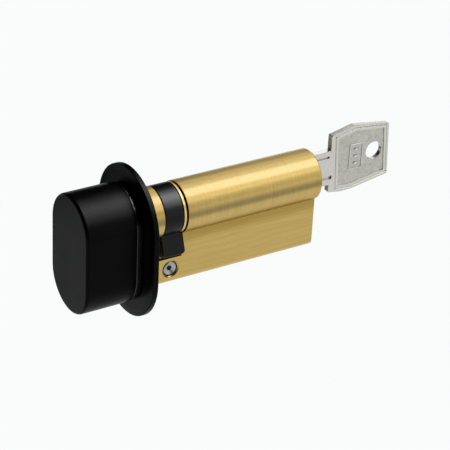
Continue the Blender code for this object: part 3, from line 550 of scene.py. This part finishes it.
def brushed_brass():
    """Lacquered brass, brushed round the barrel and lengthwise on the stem, with painted shade in two bands
    and less lacquer in the crease.
    """
    material, shader = new_material(
        "brushed_brass", (0.49, 0.33, 0.075), 1.0, 0.32, Coat_Weight=LACQUER, Coat_Roughness=0.25,
        Specular_Tint=EDGE_TINT
    )
    nodes = Nodes(material)
    x, y, z = nodes.axes()
    around = nodes.math("MULTIPLY", nodes.math("ARCTAN2", y, z), BARREL_RADIUS)
    on_stem = nodes.ranged(z, *BRUSHING_TURNS, 0.0, 1.0)

    def streaks(scale, squeeze, detail):
        """Noise that is drawn out along the brushing, by squeezing its coordinate there."""
        on_barrel = nodes.vector(x, nodes.math("MULTIPLY", around, squeeze), 0.0)
        lengthwise = nodes.vector(nodes.math("MULTIPLY", x, squeeze), y, z)
        places = (on_barrel, lengthwise)
        return nodes.mix(on_stem, *(nodes.noise(place, scale, detail) for place in places))

    fine = streaks(9000.0, 0.012, 4.0)
    broad = streaks(1600.0, 0.02, 2.0)
    both = nodes.math("ADD", nodes.math("MULTIPLY", fine, 0.6), nodes.math("MULTIPLY", broad, 0.4))
    tone = nodes.ranged(both, 0.35, 0.65, 0.0, 1.0)
    brushed = nodes.colours(tone, (0.42, 0.28, 0.058), (0.56, 0.385, 0.095))
    # Painted shade: the colour darkens towards near black in the two bands, and the lacquer weakens in the
    # crease so that its reflection fades there.
    seam_shade = nodes.band(z, *SEAM_SHADE_BAND)
    crease_shade = nodes.band(z, *CREASE_SHADE_BAND)
    seam_shade = nodes.math("MULTIPLY", seam_shade, SEAM_PAINTED_SHADE)
    painted_shade = nodes.math("ADD", seam_shade, nodes.math("MULTIPLY", crease_shade, CREASE_PAINTED_SHADE))
    nodes.join(nodes.colours(painted_shade, brushed, (0.02, 0.012, 0.002)), shader.inputs["Base Color"])
    nodes.join(nodes.ranged(crease_shade, 0.0, 1.0, LACQUER, 0.3 * LACQUER), shader.inputs["Coat Weight"])
    nodes.join(nodes.ranged(both, 0.3, 0.7, 0.26, 0.40), shader.inputs["Roughness"])
    nodes.join(nodes.bump(both, 0.25, 0.02 * MM), shader.inputs["Normal"])
    return material


def turned_brass():
    """Brass straight from the lathe: fine rings about the lock axis."""
    material, shader = new_material("turned_brass", (0.66, 0.47, 0.19), 1.0, 0.24)
    nodes = Nodes(material)
    x, y, z = nodes.axes()
    squares = nodes.math("ADD", nodes.math("MULTIPLY", y, y), nodes.math("MULTIPLY", z, z))
    radius = nodes.math("SQRT", squares)
    rings = nodes.noise(nodes.vector(x, radius, 0.0), 7000.0, 3.0)
    cloud = nodes.noise(nodes.place, 180.0, 3.0)
    nodes.join(nodes.colours(cloud, (0.60, 0.42, 0.16), (0.74, 0.54, 0.24)), shader.inputs["Base Color"])
    nodes.join(nodes.ranged(rings, 0.3, 0.7, 0.18, 0.34), shader.inputs["Roughness"])
    nodes.join(nodes.bump(rings, 0.2, 0.02 * MM), shader.inputs["Normal"])
    return material


def black_coat(name, roughness, specular):
    """Satin black powder coat: a faint orange peel and grain, with slight changes of gloss."""
    material, shader = new_material(
        name, (0.0006, 0.0006, 0.0006), 0.0, roughness, Specular_IOR_Level=specular
    )
    nodes = Nodes(material)
    peel = nodes.noise(nodes.place, 2600.0, 2.0)
    grain = nodes.noise(nodes.place, 9000.0, 2.0)
    cloud = nodes.noise(nodes.place, 90.0, 4.0)
    spread = 0.03
    gloss = nodes.ranged(cloud, 0.3, 0.7, roughness - spread, roughness + spread)
    pigment = nodes.colours(cloud, (0.0003, 0.0003, 0.0003), (0.0009, 0.0009, 0.0009))
    nodes.join(pigment, shader.inputs["Base Color"])
    nodes.join(gloss, shader.inputs["Roughness"])
    nodes.join(nodes.bump(grain, 0.08, 0.02 * MM, nodes.bump(peel, 0.12, 0.05 * MM)), shader.inputs["Normal"])
    return material


def black_cam_steel():
    """Blackened sintered steel: fine pores and a dull metallic shine."""
    material, shader = new_material(
        "black_sintered_steel", (0.001, 0.001, 0.001), 0.0, 0.34, Specular_IOR_Level=0.14
    )
    nodes = Nodes(material)
    pores = nodes.noise(nodes.place, 5200.0, 4.0, 0.7)
    cloud = nodes.noise(nodes.place, 240.0, 3.0)
    pigment = nodes.colours(cloud, (0.0008, 0.0008, 0.0008), (0.0014, 0.0014, 0.0015))
    nodes.join(pigment, shader.inputs["Base Color"])
    nodes.join(nodes.ranged(pores, 0.3, 0.7, 0.30, 0.40), shader.inputs["Roughness"])
    nodes.join(nodes.bump(pores, 0.15, 0.03 * MM), shader.inputs["Normal"])
    return material


def nickel_silver():
    """Stamped nickel silver: satin with faint mottling, and darker and grainier on the bow's sunk surfaces,
    which is partly grain and partly painted shade.
    """
    material, shader = new_material("nickel_silver_satin", (0.55, 0.53, 0.48), 1.0, 0.36)
    nodes = Nodes(material)
    x, y, z = nodes.axes()
    grain = nodes.noise(nodes.place, 2600.0, 4.0, 0.7)
    mottle = nodes.noise(nodes.place, 700.0, 3.0)
    both = nodes.math("ADD", nodes.math("MULTIPLY", grain, 0.65), nodes.math("MULTIPLY", mottle, 0.35))
    grainy, smooth = key_high.y - SHADED_GRAINY_DEPTH, key_high.y - SMOOTH_DEPTH
    # Painted shade with real grain: the bow's surfaces that lie deep below its faces turn darker and
    # grainier.
    sunk = nodes.ranged(nodes.math("ABSOLUTE", y), grainy, smooth, 1.0, 0.0)
    recess_grain_and_shade = nodes.math("MULTIPLY", sunk, nodes.ranged(x, BOW_START, BOW_START + MM, 0.0, 1.0))
    tone = nodes.ranged(both, 0.36, 0.64, 0.0, 1.0)
    smooth_metal = nodes.colours(tone, (0.545, 0.535, 0.50), (0.63, 0.62, 0.585))
    grainy_shaded_metal = nodes.colours(tone, (0.35, 0.335, 0.305), (0.60, 0.585, 0.55))
    nodes.join(nodes.colours(recess_grain_and_shade, smooth_metal, grainy_shaded_metal), shader.inputs["Base Color"])
    nodes.join(nodes.ranged(both, 0.3, 0.7, 0.26, 0.42), shader.inputs["Roughness"])
    height = nodes.math("MULTIPLY", both, nodes.ranged(recess_grain_and_shade, 0.0, 1.0, 0.15, 1.0))
    nodes.join(nodes.bump(height, 0.35, 0.06 * MM), shader.inputs["Normal"])
    return material


def plated_steel(name, colour, roughness):
    """Plated or drawn steel with fine scratches."""
    material, shader = new_material(name, colour, 1.0, roughness)
    nodes = Nodes(material)
    scratches = nodes.noise(nodes.scaled(1.0, 0.05, 1.0), 6000.0, 3.0)
    darker = tuple(0.8 * value for value in colour)
    nodes.join(nodes.colours(scratches, darker, colour), shader.inputs["Base Color"])
    gloss = nodes.ranged(scratches, 0.3, 0.7, roughness - 0.05, roughness + 0.08)
    nodes.join(gloss, shader.inputs["Roughness"])
    nodes.join(nodes.bump(scratches, 0.12, 0.02 * MM), shader.inputs["Normal"])
    return material


def seal_rubber():
    material, shader = new_material("seal_rubber", (0.02, 0.02, 0.02), 0.0, 0.7)
    nodes = Nodes(material)
    grain = nodes.noise(nodes.place, 4000.0, 3.0)
    pigment = nodes.colours(grain, (0.015, 0.015, 0.015), (0.03, 0.03, 0.03))
    nodes.join(pigment, shader.inputs["Base Color"])
    nodes.join(nodes.bump(grain, 0.2, 0.03 * MM), shader.inputs["Normal"])
    return material


BRASS = brushed_brass()
TURNED_BRASS = turned_brass()
BLACK = black_coat("black_powder_coat", 0.34, 0.038)
BASE_BLACK = black_coat("black_anodised_plate", 0.26, 0.6)
CAM_BLACK = black_cam_steel()
NICKEL = nickel_silver()
STEEL = plated_steel("zinc_plated_steel", (0.62, 0.62, 0.61), 0.24)
SPRING_STEEL = plated_steel("spring_steel", (0.40, 0.40, 0.41), 0.3)
RUBBER = seal_rubber()


# Pieces.


def euro_profile():
    """The housing's section in Y and Z: a round barrel that runs into a stem through small fillets."""
    corner_centre = (STEM_HALF_WIDTH - STEM_CORNER, STEM_BOTTOM + STEM_CORNER)
    fillet_y = STEM_HALF_WIDTH + STEM_FILLET
    fillet_z = -math.sqrt((BARREL_RADIUS + STEM_FILLET) ** 2 - fillet_y**2)
    tangent = math.degrees(math.atan2(fillet_z, fillet_y))
    right = arc(corner_centre, STEM_CORNER, -90.0, 0.0, 12)
    right += arc((fillet_y, fillet_z), STEM_FILLET, 180.0, 180.0 + tangent, 8)
    right += arc((0.0, 0.0), BARREL_RADIUS, tangent, 90.0, 72)[1:]
    left = [(-across, up) for across, up in reversed(right[:-1])]
    return right + left


def make_housing():
    body = prism("housing_brass", euro_profile(), HOUSING_START, HOUSING_END)
    bevel(body, HOUSING_EDGE, 3, on_plane(0, HOUSING_END))
    half = STEM_HALF_WIDTH
    depth = FIXING_HOLE_MOUTH - FIXING_HOLE_RADIUS
    hole_profile = [
        (-half - depth, 0.0),
        (-half - depth, FIXING_HOLE_MOUTH + depth),
        (depth - half, FIXING_HOLE_RADIUS),
        (half - depth, FIXING_HOLE_RADIUS),
        (half + depth, FIXING_HOLE_MOUTH + depth),
        (half + depth, 0.0),
    ]
    tools = [
        box("slot", (SLOT_START, -SLOT_REACH, SLOT_FLOOR), (SLOT_END, SLOT_REACH, SLOT_REACH)),
        rod("plug_bore", 0.0, HOUSING_END + MM, PLUG_BORE, 96),
        rod("spindle_bore", HOUSING_START - MM, 0.0, SPINDLE_BORE, 64),
        turned("fixing_hole", hole_profile, 64, "Y", (0.0, 0.0, FIXING_HOLE_Z)),
    ]
    for number in range(PIN_COUNT):
        x = FIRST_PIN_X - number * PIN_PITCH
        place = (x, 0.0, 0.0)
        tools.append(rod("chamber", STEM_BOTTOM - MM, CHAMBER_TOP, CHAMBER_RADIUS, 32, "Z", place))
    cut(body, *tools)
    bevel(body, SLOT_EDGE, 2, on_plane(0, SLOT_START, SLOT_END))
    finish_piece(body, BRASS, "housing", "satin_brass", "cylinder_body")


def make_fixing_screw():
    """The set screw in the fixing hole, with dished, chamfered ends and a socket in each."""
    end = screw_high.y
    radius = screw_high.x
    profile = [
        (SCREW_DISH - end, 0.0),
        (-end, radius - SCREW_CHAMFER),
        (SCREW_CHAMFER - end, radius),
        (end - SCREW_CHAMFER, radius),
        (end, radius - SCREW_CHAMFER),
        (end - SCREW_DISH, 0.0),
    ]
    place = (0.0, 0.0, FIXING_HOLE_Z)
    screw = turned("fixing_screw_steel", profile, 64, "Y", place)
    floor = end - SCREW_SOCKET_DEPTH
    cut(
        screw,
        rod("socket_near", -end - MM, -floor, SCREW_SOCKET_RADIUS, 6, "Y", place),
        rod("socket_far", floor, end + MM, SCREW_SOCKET_RADIUS, 6, "Y", place),
    )
    finish_piece(screw, SPRING_STEEL, "housing", "bright_steel", "fixing_set_screw")


def oval(low, high, inset=0.0, steps=64):
    """Two half circles joined by straight sides, in Y and Z, that fill a CAD node's box."""
    half_width = (high.y - low.y) / 2
    middle = (low.z + high.z) / 2
    half_straight = (high.z - low.z) / 2 - half_width
    top = arc((0.0, middle + half_straight), half_width - inset, 0.0, 180.0, steps)
    bottom = arc((0.0, middle - half_straight), half_width - inset, 180.0, 360.0, steps)
    return top + bottom


def make_rose():
    """The oval rose, whose front steps up from a rounded rim to a flat field under the knob."""
    rim_front = rose_low.x + sum(rise for inset, rise in ROSE_STEPS)
    rose = prism("rose_black", oval(rose_low, rose_high, steps=96), rim_front, rose_high.x)
    work = bmesh.new()
    work.from_mesh(rose.data)
    front = min(work.faces, key=lambda face: face.calc_center_median().x)
    for inset, rise in ROSE_STEPS:
        bmesh.ops.inset_region(work, faces=[front], thickness=inset)
        bmesh.ops.translate(work, verts=front.verts, vec=(-rise, 0.0, 0.0))
    work.to_mesh(rose.data)
    work.free()
    bevel(rose, ROSE_EDGE, 4, on_plane(0, rim_front))
    bevel(rose, ROSE_BACK_EDGE, 3, on_plane(0, rose_high.x))
    cut(
        rose,
        rod("rose_hole", rose_low.x - MM, rose_high.x + MM, ROSE_BORE, 64),
        rod("clip_pocket", rose_low.x - MM, ROSE_POCKET_FLOOR, ROSE_POCKET_RADIUS, 64),
    )
    finish_piece(rose, BLACK, "housing", "black_coating", "rose")


def make_knob():
    """The oval knob with a rounded front edge and a fine chamfer at its back edge."""
    knob = prism("knob_black", oval(knob_low, knob_high), knob_low.x, knob_high.x)
    bevel(knob, KNOB_EDGE, 8, on_plane(0, knob_low.x))
    bevel(knob, KNOB_BACK_EDGE, 2, on_plane(0, knob_high.x))
    floor = knob_low.x + KNOB_WALL
    cut(knob, prism("cavity", oval(knob_low, knob_high, KNOB_WALL, 32), floor, knob_high.x + MM))
    boss_end = knob_high.x - KNOB_BOSS_SETBACK
    boolean(knob, "UNION", rod("boss", floor - KNOB_WALL / 4, boss_end, KNOB_BOSS_RADIUS, 64))
    place = (KNOB_SCREW_X, 0.0, 0.0)
    cut(
        knob,
        rod("knob_bore", KNOB_BORE_START, knob_high.x + MM, SPINDLE_BORE, 64),
        rod("screw_hole", KNOB_SCREW_START, knob_high.y + MM, KNOB_SCREW_RADIUS, 32, "Y", place),
    )
    finish_piece(knob, BLACK, "thumb_turn", "black_coating", "knob_shell")
    base = prism("knob_base_black", oval(base_low, base_high), base_low.x, base_high.x)
    bevel(base, BASE_EDGE, 2, lambda a, b: True)
    cut(base, rod("base_hole", base_low.x - MM, base_high.x + MM, SPINDLE_BORE, 64))
    finish_piece(base, BASE_BLACK, "thumb_turn", "black_coating", "knob_base_plate")


def cam_outline():
    """The cam in Y and Z, with its lever turned from straight down towards -Y."""
    corner_across = LEVER_HALF_WIDTH - LEVER_CORNER
    corner_along = math.sqrt((LEVER_RADIUS - LEVER_CORNER) ** 2 - corner_across**2)
    corner_angle = math.degrees(math.atan2(corner_across, corner_along))
    fillet_across = LEVER_HALF_WIDTH + LEVER_FILLET
    fillet_along = math.sqrt((CAM_RADIUS + LEVER_FILLET) ** 2 - fillet_across**2)
    root_angle = math.degrees(math.atan2(fillet_across, fillet_along))
    half = arc((0.0, 0.0), LEVER_RADIUS, 0.0, corner_angle, 8)[:-1]
    half += arc((corner_along, corner_across), LEVER_CORNER, corner_angle, 90.0, 14)
    half += arc((fillet_along, fillet_across), LEVER_FILLET, -90.0, root_angle - 180.0, 14)
    half += arc((0.0, 0.0), CAM_RADIUS, root_angle, 180.0, 72)[1:]
    other = [(along, -across) for along, across in reversed(half[1:-1])]
    down = Vector((-math.sin(LEVER_ANGLE), -math.cos(LEVER_ANGLE)))
    side = Vector((-math.cos(LEVER_ANGLE), math.sin(LEVER_ANGLE)))
    return [tuple(down * along + side * across) for along, across in half + other]


def make_cam():
    """The cam's ring and lever, with a lever tip that is rounded along the axis too."""
    cam = prism("cam_black", cam_outline(), cam_low.x, cam_high.x)
    bevel(cam, CAM_EDGE, 4, on_plane(0, cam_low.x, cam_high.x))
    reach = LEVER_RADIUS + LEVER_TIP_SKIM
    tip = LEVER_TIP_ROUND
    envelope = [(cam_high.x + MM, 0.0), (cam_high.x + MM, reach - tip), (cam_high.x, reach - tip)]
    envelope += arc((cam_high.x - tip, reach - tip), tip, 0.0, 90.0, 10)[1:]
    envelope += arc((cam_low.x + tip, reach - tip), tip, 90.0, 180.0, 10)
    envelope += [(cam_low.x - MM, reach - tip), (cam_low.x - MM, 0.0)]
    boolean(cam, "INTERSECT", turned("tip_envelope", envelope, 256))
    cut(
        cam,
        rod("relief", CAM_RING_END, cam_high.x + MM, CAM_RADIUS + CAM_EDGE, 96),
        rod("drive_bore", cam_low.x - MM, CAM_RING_END + MM, CAM_BORE, 64),
        rod("clip_pocket", CAM_POCKET_START, cam_high.x + MM, CAM_POCKET_RADIUS, 64),
    )
    finish_piece(cam, CAM_BLACK, "thumb_turn", "black_cam", "cam")


def make_plug():
    """The plug and its ring. The key pins and the clutch inside keep their CAD shapes."""
    profile = [
        (plug_high.x, 0.0),
        (plug_high.x, plug_high.z - PLUG_CHAMFER),
        (plug_high.x - PLUG_CHAMFER, plug_high.z),
        (PLUG_SHOULDER, plug_high.z),
        (PLUG_SHOULDER, PLUG_SPIGOT_RADIUS),
        (plug_low.x, PLUG_SPIGOT_RADIUS),
        (plug_low.x, 0.0),
    ]
    plug = turned("plug_brass", profile, 96)
    tools = [
        box("keyway", KEYWAY_LOW, (HOUSING_END + MM, -KEYWAY_LOW[1], KEYWAY_TOP)),
        rod("clutch_bore", 0.0, CLUTCH_BORE_END, CLUTCH_BORE_RADIUS, 32),
        rod("rod_bore", *PUSH_ROD_BORE, PUSH_ROD_BORE_RADIUS, 24),
    ]
    across, height = DRILL_PIN_PLACE
    for side in (-1, 1):
        place = (0.0, side * across, height)
        tools.append(rod("drill_hole", DRILL_PIN_START, HOUSING_END + MM, DRILL_PIN_RADIUS, 24, "X", place))
    for number in range(PIN_COUNT):
        x = FIRST_PIN_X - number * PIN_PITCH
        tools.append(rod("pin_hole", *PIN_HOLE, CHAMBER_RADIUS, 24, "Z", (x, 0.0, 0.0)))
    cut(plug, *tools)
    finish_piece(plug, TURNED_BRASS, "plug", "turned_brass", "plug")
    low, high, outer = ring_low.x, ring_high.x, ring_high.z
    section = [
        (low, RING_BORE_RADIUS),
        (high, RING_BORE_RADIUS),
        (high, outer - RING_ROUND),
        (high - RING_ROUND, outer),
        (low + RING_ROUND, outer),
        (low, outer - RING_ROUND),
    ]
    ring = turned("retaining_ring_brass", section, 128, closed=True)
    finish_piece(ring, TURNED_BRASS, "plug", "turned_brass", "plug_retaining_ring")


def offset(corners, distance):
    """An outline of corners moved outwards by the same distance along each side."""
    points = [Vector(corner) for corner in corners]
    centre = sum(points, Vector((0.0, 0.0))) / len(points)
    lines = []
    for start, end in zip(points, points[1:] + points[:1]):
        along = (end - start).normalized()
        outward = Vector((-along.y, along.x))
        if outward.dot(centre - start) > 0:
            outward.negate()
        lines.append((start + outward * distance, along))
    moved = []
    for (first, along), (second, other) in zip(lines[-1:] + lines[:-1], lines):
        reach = (second - first).cross(other) / along.cross(other)
        moved.append(first + along * reach)
    return moved


def rounded(corners, radius, steps=5):
    """The outline with each of its corners rounded off."""
    points = []
    count = len(corners)
    for i in range(count):
        before, corner, after = (Vector(corners[(i + k) % count]) for k in (-1, 0, 1))
        to_before = (before - corner).normalized()
        to_after = (after - corner).normalized()
        half_angle = to_before.angle(to_after) / 2
        centre = corner + (to_before + to_after).normalized() * radius / math.sin(half_angle)
        first = corner + to_before * radius / math.tan(half_angle) - centre
        last = corner + to_after * radius / math.tan(half_angle) - centre
        sweep = first.angle_signed(last)
        for step in range(steps + 1):
            spoke = Matrix.Rotation(-sweep * step / steps, 2) @ first
            points.append(tuple(centre + spoke))
    return points


def ringed(name, loops, closed):
    """A solid through outlines in X and Z, each at its own Y: a closed ring, or capped at both ends."""
    work = bmesh.new()
    rings = [[work.verts.new((x, y, z)) for x, z in outline] for outline, y in loops]
    count = len(rings[0])
    pairs = list(zip(rings, rings[1:]))
    if closed:
        pairs.append((rings[-1], rings[0]))
    for first, second in pairs:
        for i in range(count):
            k = (i + 1) % count
            work.faces.new((first[i], first[k], second[k], second[i]))
    if not closed:
        work.faces.new(rings[0])
        work.faces.new(rings[-1])
    bmesh.ops.recalc_face_normals(work, faces=work.faces)
    return solid(name, work)


def blade_outline():
    """The blade in X and Z, with its cuts rising towards the tip."""
    tip = key_low.x
    upper = [(NECK_START + MM, BLADE_TOP), (tip + TIP_SLOPE, BLADE_TOP), (tip, TIP_HEIGHT)]
    lower = [(NECK_START + MM, BLADE_BOTTOM), (FIRST_PIN_X + LAND_BEFORE_CUTS, BLADE_BOTTOM)]
    for number in range(PIN_COUNT):
        x = FIRST_PIN_X - number * PIN_PITCH
        height = FIRST_CUT + number * CUT_STEP
        lower += [(x + CUT_HALF_WIDTH, height), (x - CUT_HALF_WIDTH, height)]
    lower.append((tip, lower[-1][1] + CUT_STEP))
    return upper + lower[::-1]


def rectangle(centre, size):
    half_x, half_z = size[0] / 2, size[1] / 2
    x, z = centre
    signs = ((-1, -1), (1, -1), (1, 1), (-1, 1))
    return [(x + across * half_x, z + up * half_z) for across, up in signs]


def lozenge(centre, size):
    x, z = centre
    return [(x - size[0] / 2, z), (x, z - size[1] / 2), (x + size[0] / 2, z), (x, z + size[1] / 2)]


def relief(side, half):
    """The cutters for one side of the bow: a sunk panel with sloping walls and a groove round it."""
    panel = [Vector(corner) * MM for corner in PANEL_OUTLINE]

    def loop(distance, depth):
        return rounded(offset(panel, distance), PANEL_CORNER), side * (half - depth)

    wall = PANEL_DEPTH * PANEL_SLOPE
    sunk = ringed("panel", [loop(-wall, PANEL_DEPTH), loop(wall, -PANEL_DEPTH)], False)
    outer = GROOVE_OFFSET + 2 * GROOVE_HALF_WIDTH
    inner = GROOVE_OFFSET - 2 * GROOVE_HALF_WIDTH
    section = [
        loop(GROOVE_OFFSET, GROOVE_DEPTH),
        loop(outer, -GROOVE_DEPTH),
        loop(inner, -GROOVE_DEPTH),
    ]
    return [sunk, ringed("groove", section, True)]


def raised_marks(side, half):
    """The label's raised frame and three plain lozenges, which stand on the panel's floor."""
    floor = half - PANEL_DEPTH - LABEL_ROOT
    top = half - LABEL_DEPTH
    line = LABEL_LINE / 2
    frame_corners = [Vector(corner) for corner in rectangle(LABEL_CENTRE, LABEL_SIZE)]
    section = []
    outer, inner = (line * share for share in LABEL_FLAT)
    for distance, y in ((line, floor), (outer, top), (inner, top), (-line, floor)):
        section.append((rounded(offset(frame_corners, distance - line), LABEL_CORNER, 4), side * y))
    marks = [ringed("frame", section, True)]
    for step in (-1, 0, 1):
        place = (LABEL_CENTRE[0], LABEL_CENTRE[1] + step * LABEL_MARK_PITCH)
        corners = lozenge(place, LABEL_MARK)
        loops = [
            (rounded(corners, LABEL_CORNER, 4), side * floor),
            (rounded(offset(corners, -MARK_TAPER), MARK_TOP_CORNER, 4), side * (top - MARK_SETBACK)),
        ]
        marks.append(ringed("mark", loops, False))
    return marks


def make_key():
    """The key: a bow with a raised border, a sunk panel and label, a grooved neck and a cut blade."""
    bow = rounded([Vector(corner) * MM for corner in BOW_OUTLINE], BOW_CORNER)
    neck = [
        (BOW_START, NECK_BOTTOM),
        (NECK_START, NECK_BOTTOM),
        (NECK_START, NECK_TOP),
        (BOW_START, NECK_TOP),
    ]
    half = key_high.y
    key = prism("key_nickel", neck + bow, -half, half, "Y")
    bevel(key, KEY_EDGE, 3, on_plane(1, -half, half))
    half_blade = BLADE_THICKNESS / 2
    boolean(key, "UNION", prism("blade", blade_outline(), -half_blade, half_blade, "Y"))
    hole_x, hole_z = RING_HOLE_CENTRE
    flare = RING_HOLE_FLARE
    hole_profile = [
        (-half - flare, 0.0),
        (-half - flare, RING_HOLE_RADIUS + 2 * flare),
        (flare - half, RING_HOLE_RADIUS),
        (half - flare, RING_HOLE_RADIUS),
        (half + flare, RING_HOLE_RADIUS + 2 * flare),
        (half + flare, 0.0),
    ]
    tools = relief(-1, half) + relief(1, half)
    for side, low_z, high_z, depth, end in BLADE_GROOVES:
        low, high = sorted((side * (half_blade - depth * MM), side * (half + MM)))
        tools.append(box("groove", (key_low.x - MM, low, low_z * MM), (end * MM, high, high_z * MM)))
    cut(key, *tools)
    boolean(key, "UNION", *raised_marks(-1, half), *raised_marks(1, half))
    cut(key, turned("ring_hole", hole_profile, 72, "Y", (hole_x, 0.0, hole_z)))
    finish_piece(key, NICKEL, "key", "nickel_silver", "key")


def paint_inner_parts():
    """The pieces inside keep their CAD shapes and take a finished material by their slot."""
    finishes = {
        "turned_brass": TURNED_BRASS,
        "bright_steel": STEEL,
        "spring_steel": SPRING_STEEL,
        "seal_rubber": RUBBER,
        "satin_brass": BRASS,
        "black_coating": BLACK,
        "black_cam": CAM_BLACK,
        "nickel_silver": NICKEL,
    }
    slots = {part["node"]: part["material_slot"] for part in frame["record"]["subparts"]}
    for name, obj in frame["nodes"].items():
        obj.data.materials.clear()
        obj.data.materials.append(finishes[slots[name]])


# Camera, floor and light.


def make_camera():
    data = bpy.data.cameras.new("camera")
    data.lens = CAMERA_LENS
    data.sensor_width = SENSOR_WIDTH
    camera = link("camera", data)
    back = Vector(
        (
            math.sin(CAMERA_AZIMUTH) * math.cos(CAMERA_ELEVATION),
            -math.cos(CAMERA_AZIMUTH) * math.cos(CAMERA_ELEVATION),
            math.sin(CAMERA_ELEVATION),
        )
    )
    right = Vector((0.0, 0.0, 1.0)).cross(back).normalized()
    up = back.cross(right)
    turn = Matrix.Rotation(CAMERA_ROLL, 3, back)
    right, up = turn @ right, turn @ up
    facing = Matrix((right, up, back)).transposed().to_4x4()
    camera.matrix_world = Matrix.Translation(CAMERA_PLACE) @ facing
    bpy.context.scene.camera = camera


def make_stage():
    """A glowing pale floor, a backdrop for the camera alone, and dark cards for reflections alone."""
    floor = box("floor", (-ROOM, -ROOM, FLOOR_Z - FLOOR_DEPTH), (ROOM, ROOM, FLOOR_Z))
    material, shader = new_material("pale_floor", (0.05, 0.05, 0.05), 0.0, 0.9, Specular_IOR_Level=0.0)
    nodes = Nodes(material)
    cloud = nodes.noise(nodes.place, 3.0, 2.0)
    glow = nodes.colours(cloud, (0.946, 0.968, 0.958), (0.956, 0.978, 0.968))
    nodes.join(glow, shader.inputs["Emission Color"])
    shader.inputs["Emission Strength"].default_value = 1.0
    floor.data.materials.append(material)
    backdrop = box("backdrop", (-ROOM, -ROOM, FLOOR_Z - 2 * FLOOR_DEPTH), (ROOM, ROOM, ROOM))
    backdrop.data.materials.append(material)
    backdrop.visible_glossy = False
    backdrop.visible_diffuse = False
    backdrop.visible_shadow = False
    material, shader = new_material("dark_card", (0.02, 0.02, 0.02), 0.0, 0.9, Specular_IOR_Level=0.0)
    nodes = Nodes(material)
    cloud = nodes.noise(nodes.place, 30.0, 2.0)
    felt = nodes.colours(cloud, (0.015, 0.015, 0.015), (0.025, 0.025, 0.025))
    nodes.join(felt, shader.inputs["Base Color"])
    for low, high in DARK_CARDS:
        card = box("dark_card", (*low, FLOOR_Z + CARD_LIFT), (*high, FLOOR_Z + 2 * CARD_LIFT))
        card.data.materials.append(material)
        card.visible_camera = False


def area_light(name, direction, distance, size, radiance, colour, receivers):
    """A soft box of this radiance that faces the object from this direction and lights the receivers."""
    data = bpy.data.lights.new(name, "AREA")
    data.shape = "RECTANGLE"
    data.size, data.size_y = size
    data.energy = radiance * math.pi * size[0] * size[1]
    data.color = colour
    light = link(name, data)
    away = Vector(direction).normalized()
    light.location = (cad_low + cad_high) / 2 + away * distance
    light.rotation_euler = away.to_track_quat("Z", "X").to_euler()
    light.visible_camera = False
    light.light_linking.receiver_collection = receivers


def gather(name, *materials):
    """A collection of the pieces that wear these materials, for lights to be linked to."""
    group = bpy.data.collections.new(name)
    for obj in bpy.data.objects:
        if obj.type == "MESH" and obj.data.materials and obj.data.materials[0] in materials:
            group.objects.link(obj)
    return group


def make_lights():
    """A dark room with soft boxes, each linked to the brass, the silver or the black pieces."""
    world = bpy.data.worlds.new("studio")
    bpy.context.scene.world = world
    world.use_nodes = True
    background = world.node_tree.nodes["Background"]
    background.inputs["Color"].default_value = (1.0, 1.0, 1.0, 1.0)
    background.inputs["Strength"].default_value = WORLD_STRENGTH
    brass = gather("brass_pieces", BRASS, TURNED_BRASS)
    silver = gather("silver_pieces", NICKEL, STEEL, SPRING_STEEL, RUBBER)
    black = gather("black_pieces", BLACK, CAM_BLACK, BASE_BLACK)
    for pieces, lights in (
        (brass, SHARED_LIGHTS + BRASS_LIGHTS),
        (silver, SHARED_LIGHTS + SILVER_LIGHTS),
        (black, BLACK_LIGHTS),
    ):
        for entry in lights:
            area_light(*entry, pieces)
    bpy.context.scene.view_settings.view_transform = "Standard"


make_camera()
paint_inner_parts()
make_housing()
make_fixing_screw()
make_rose()
make_knob()
make_cam()
make_plug()
make_key()
make_stage()
make_lights()
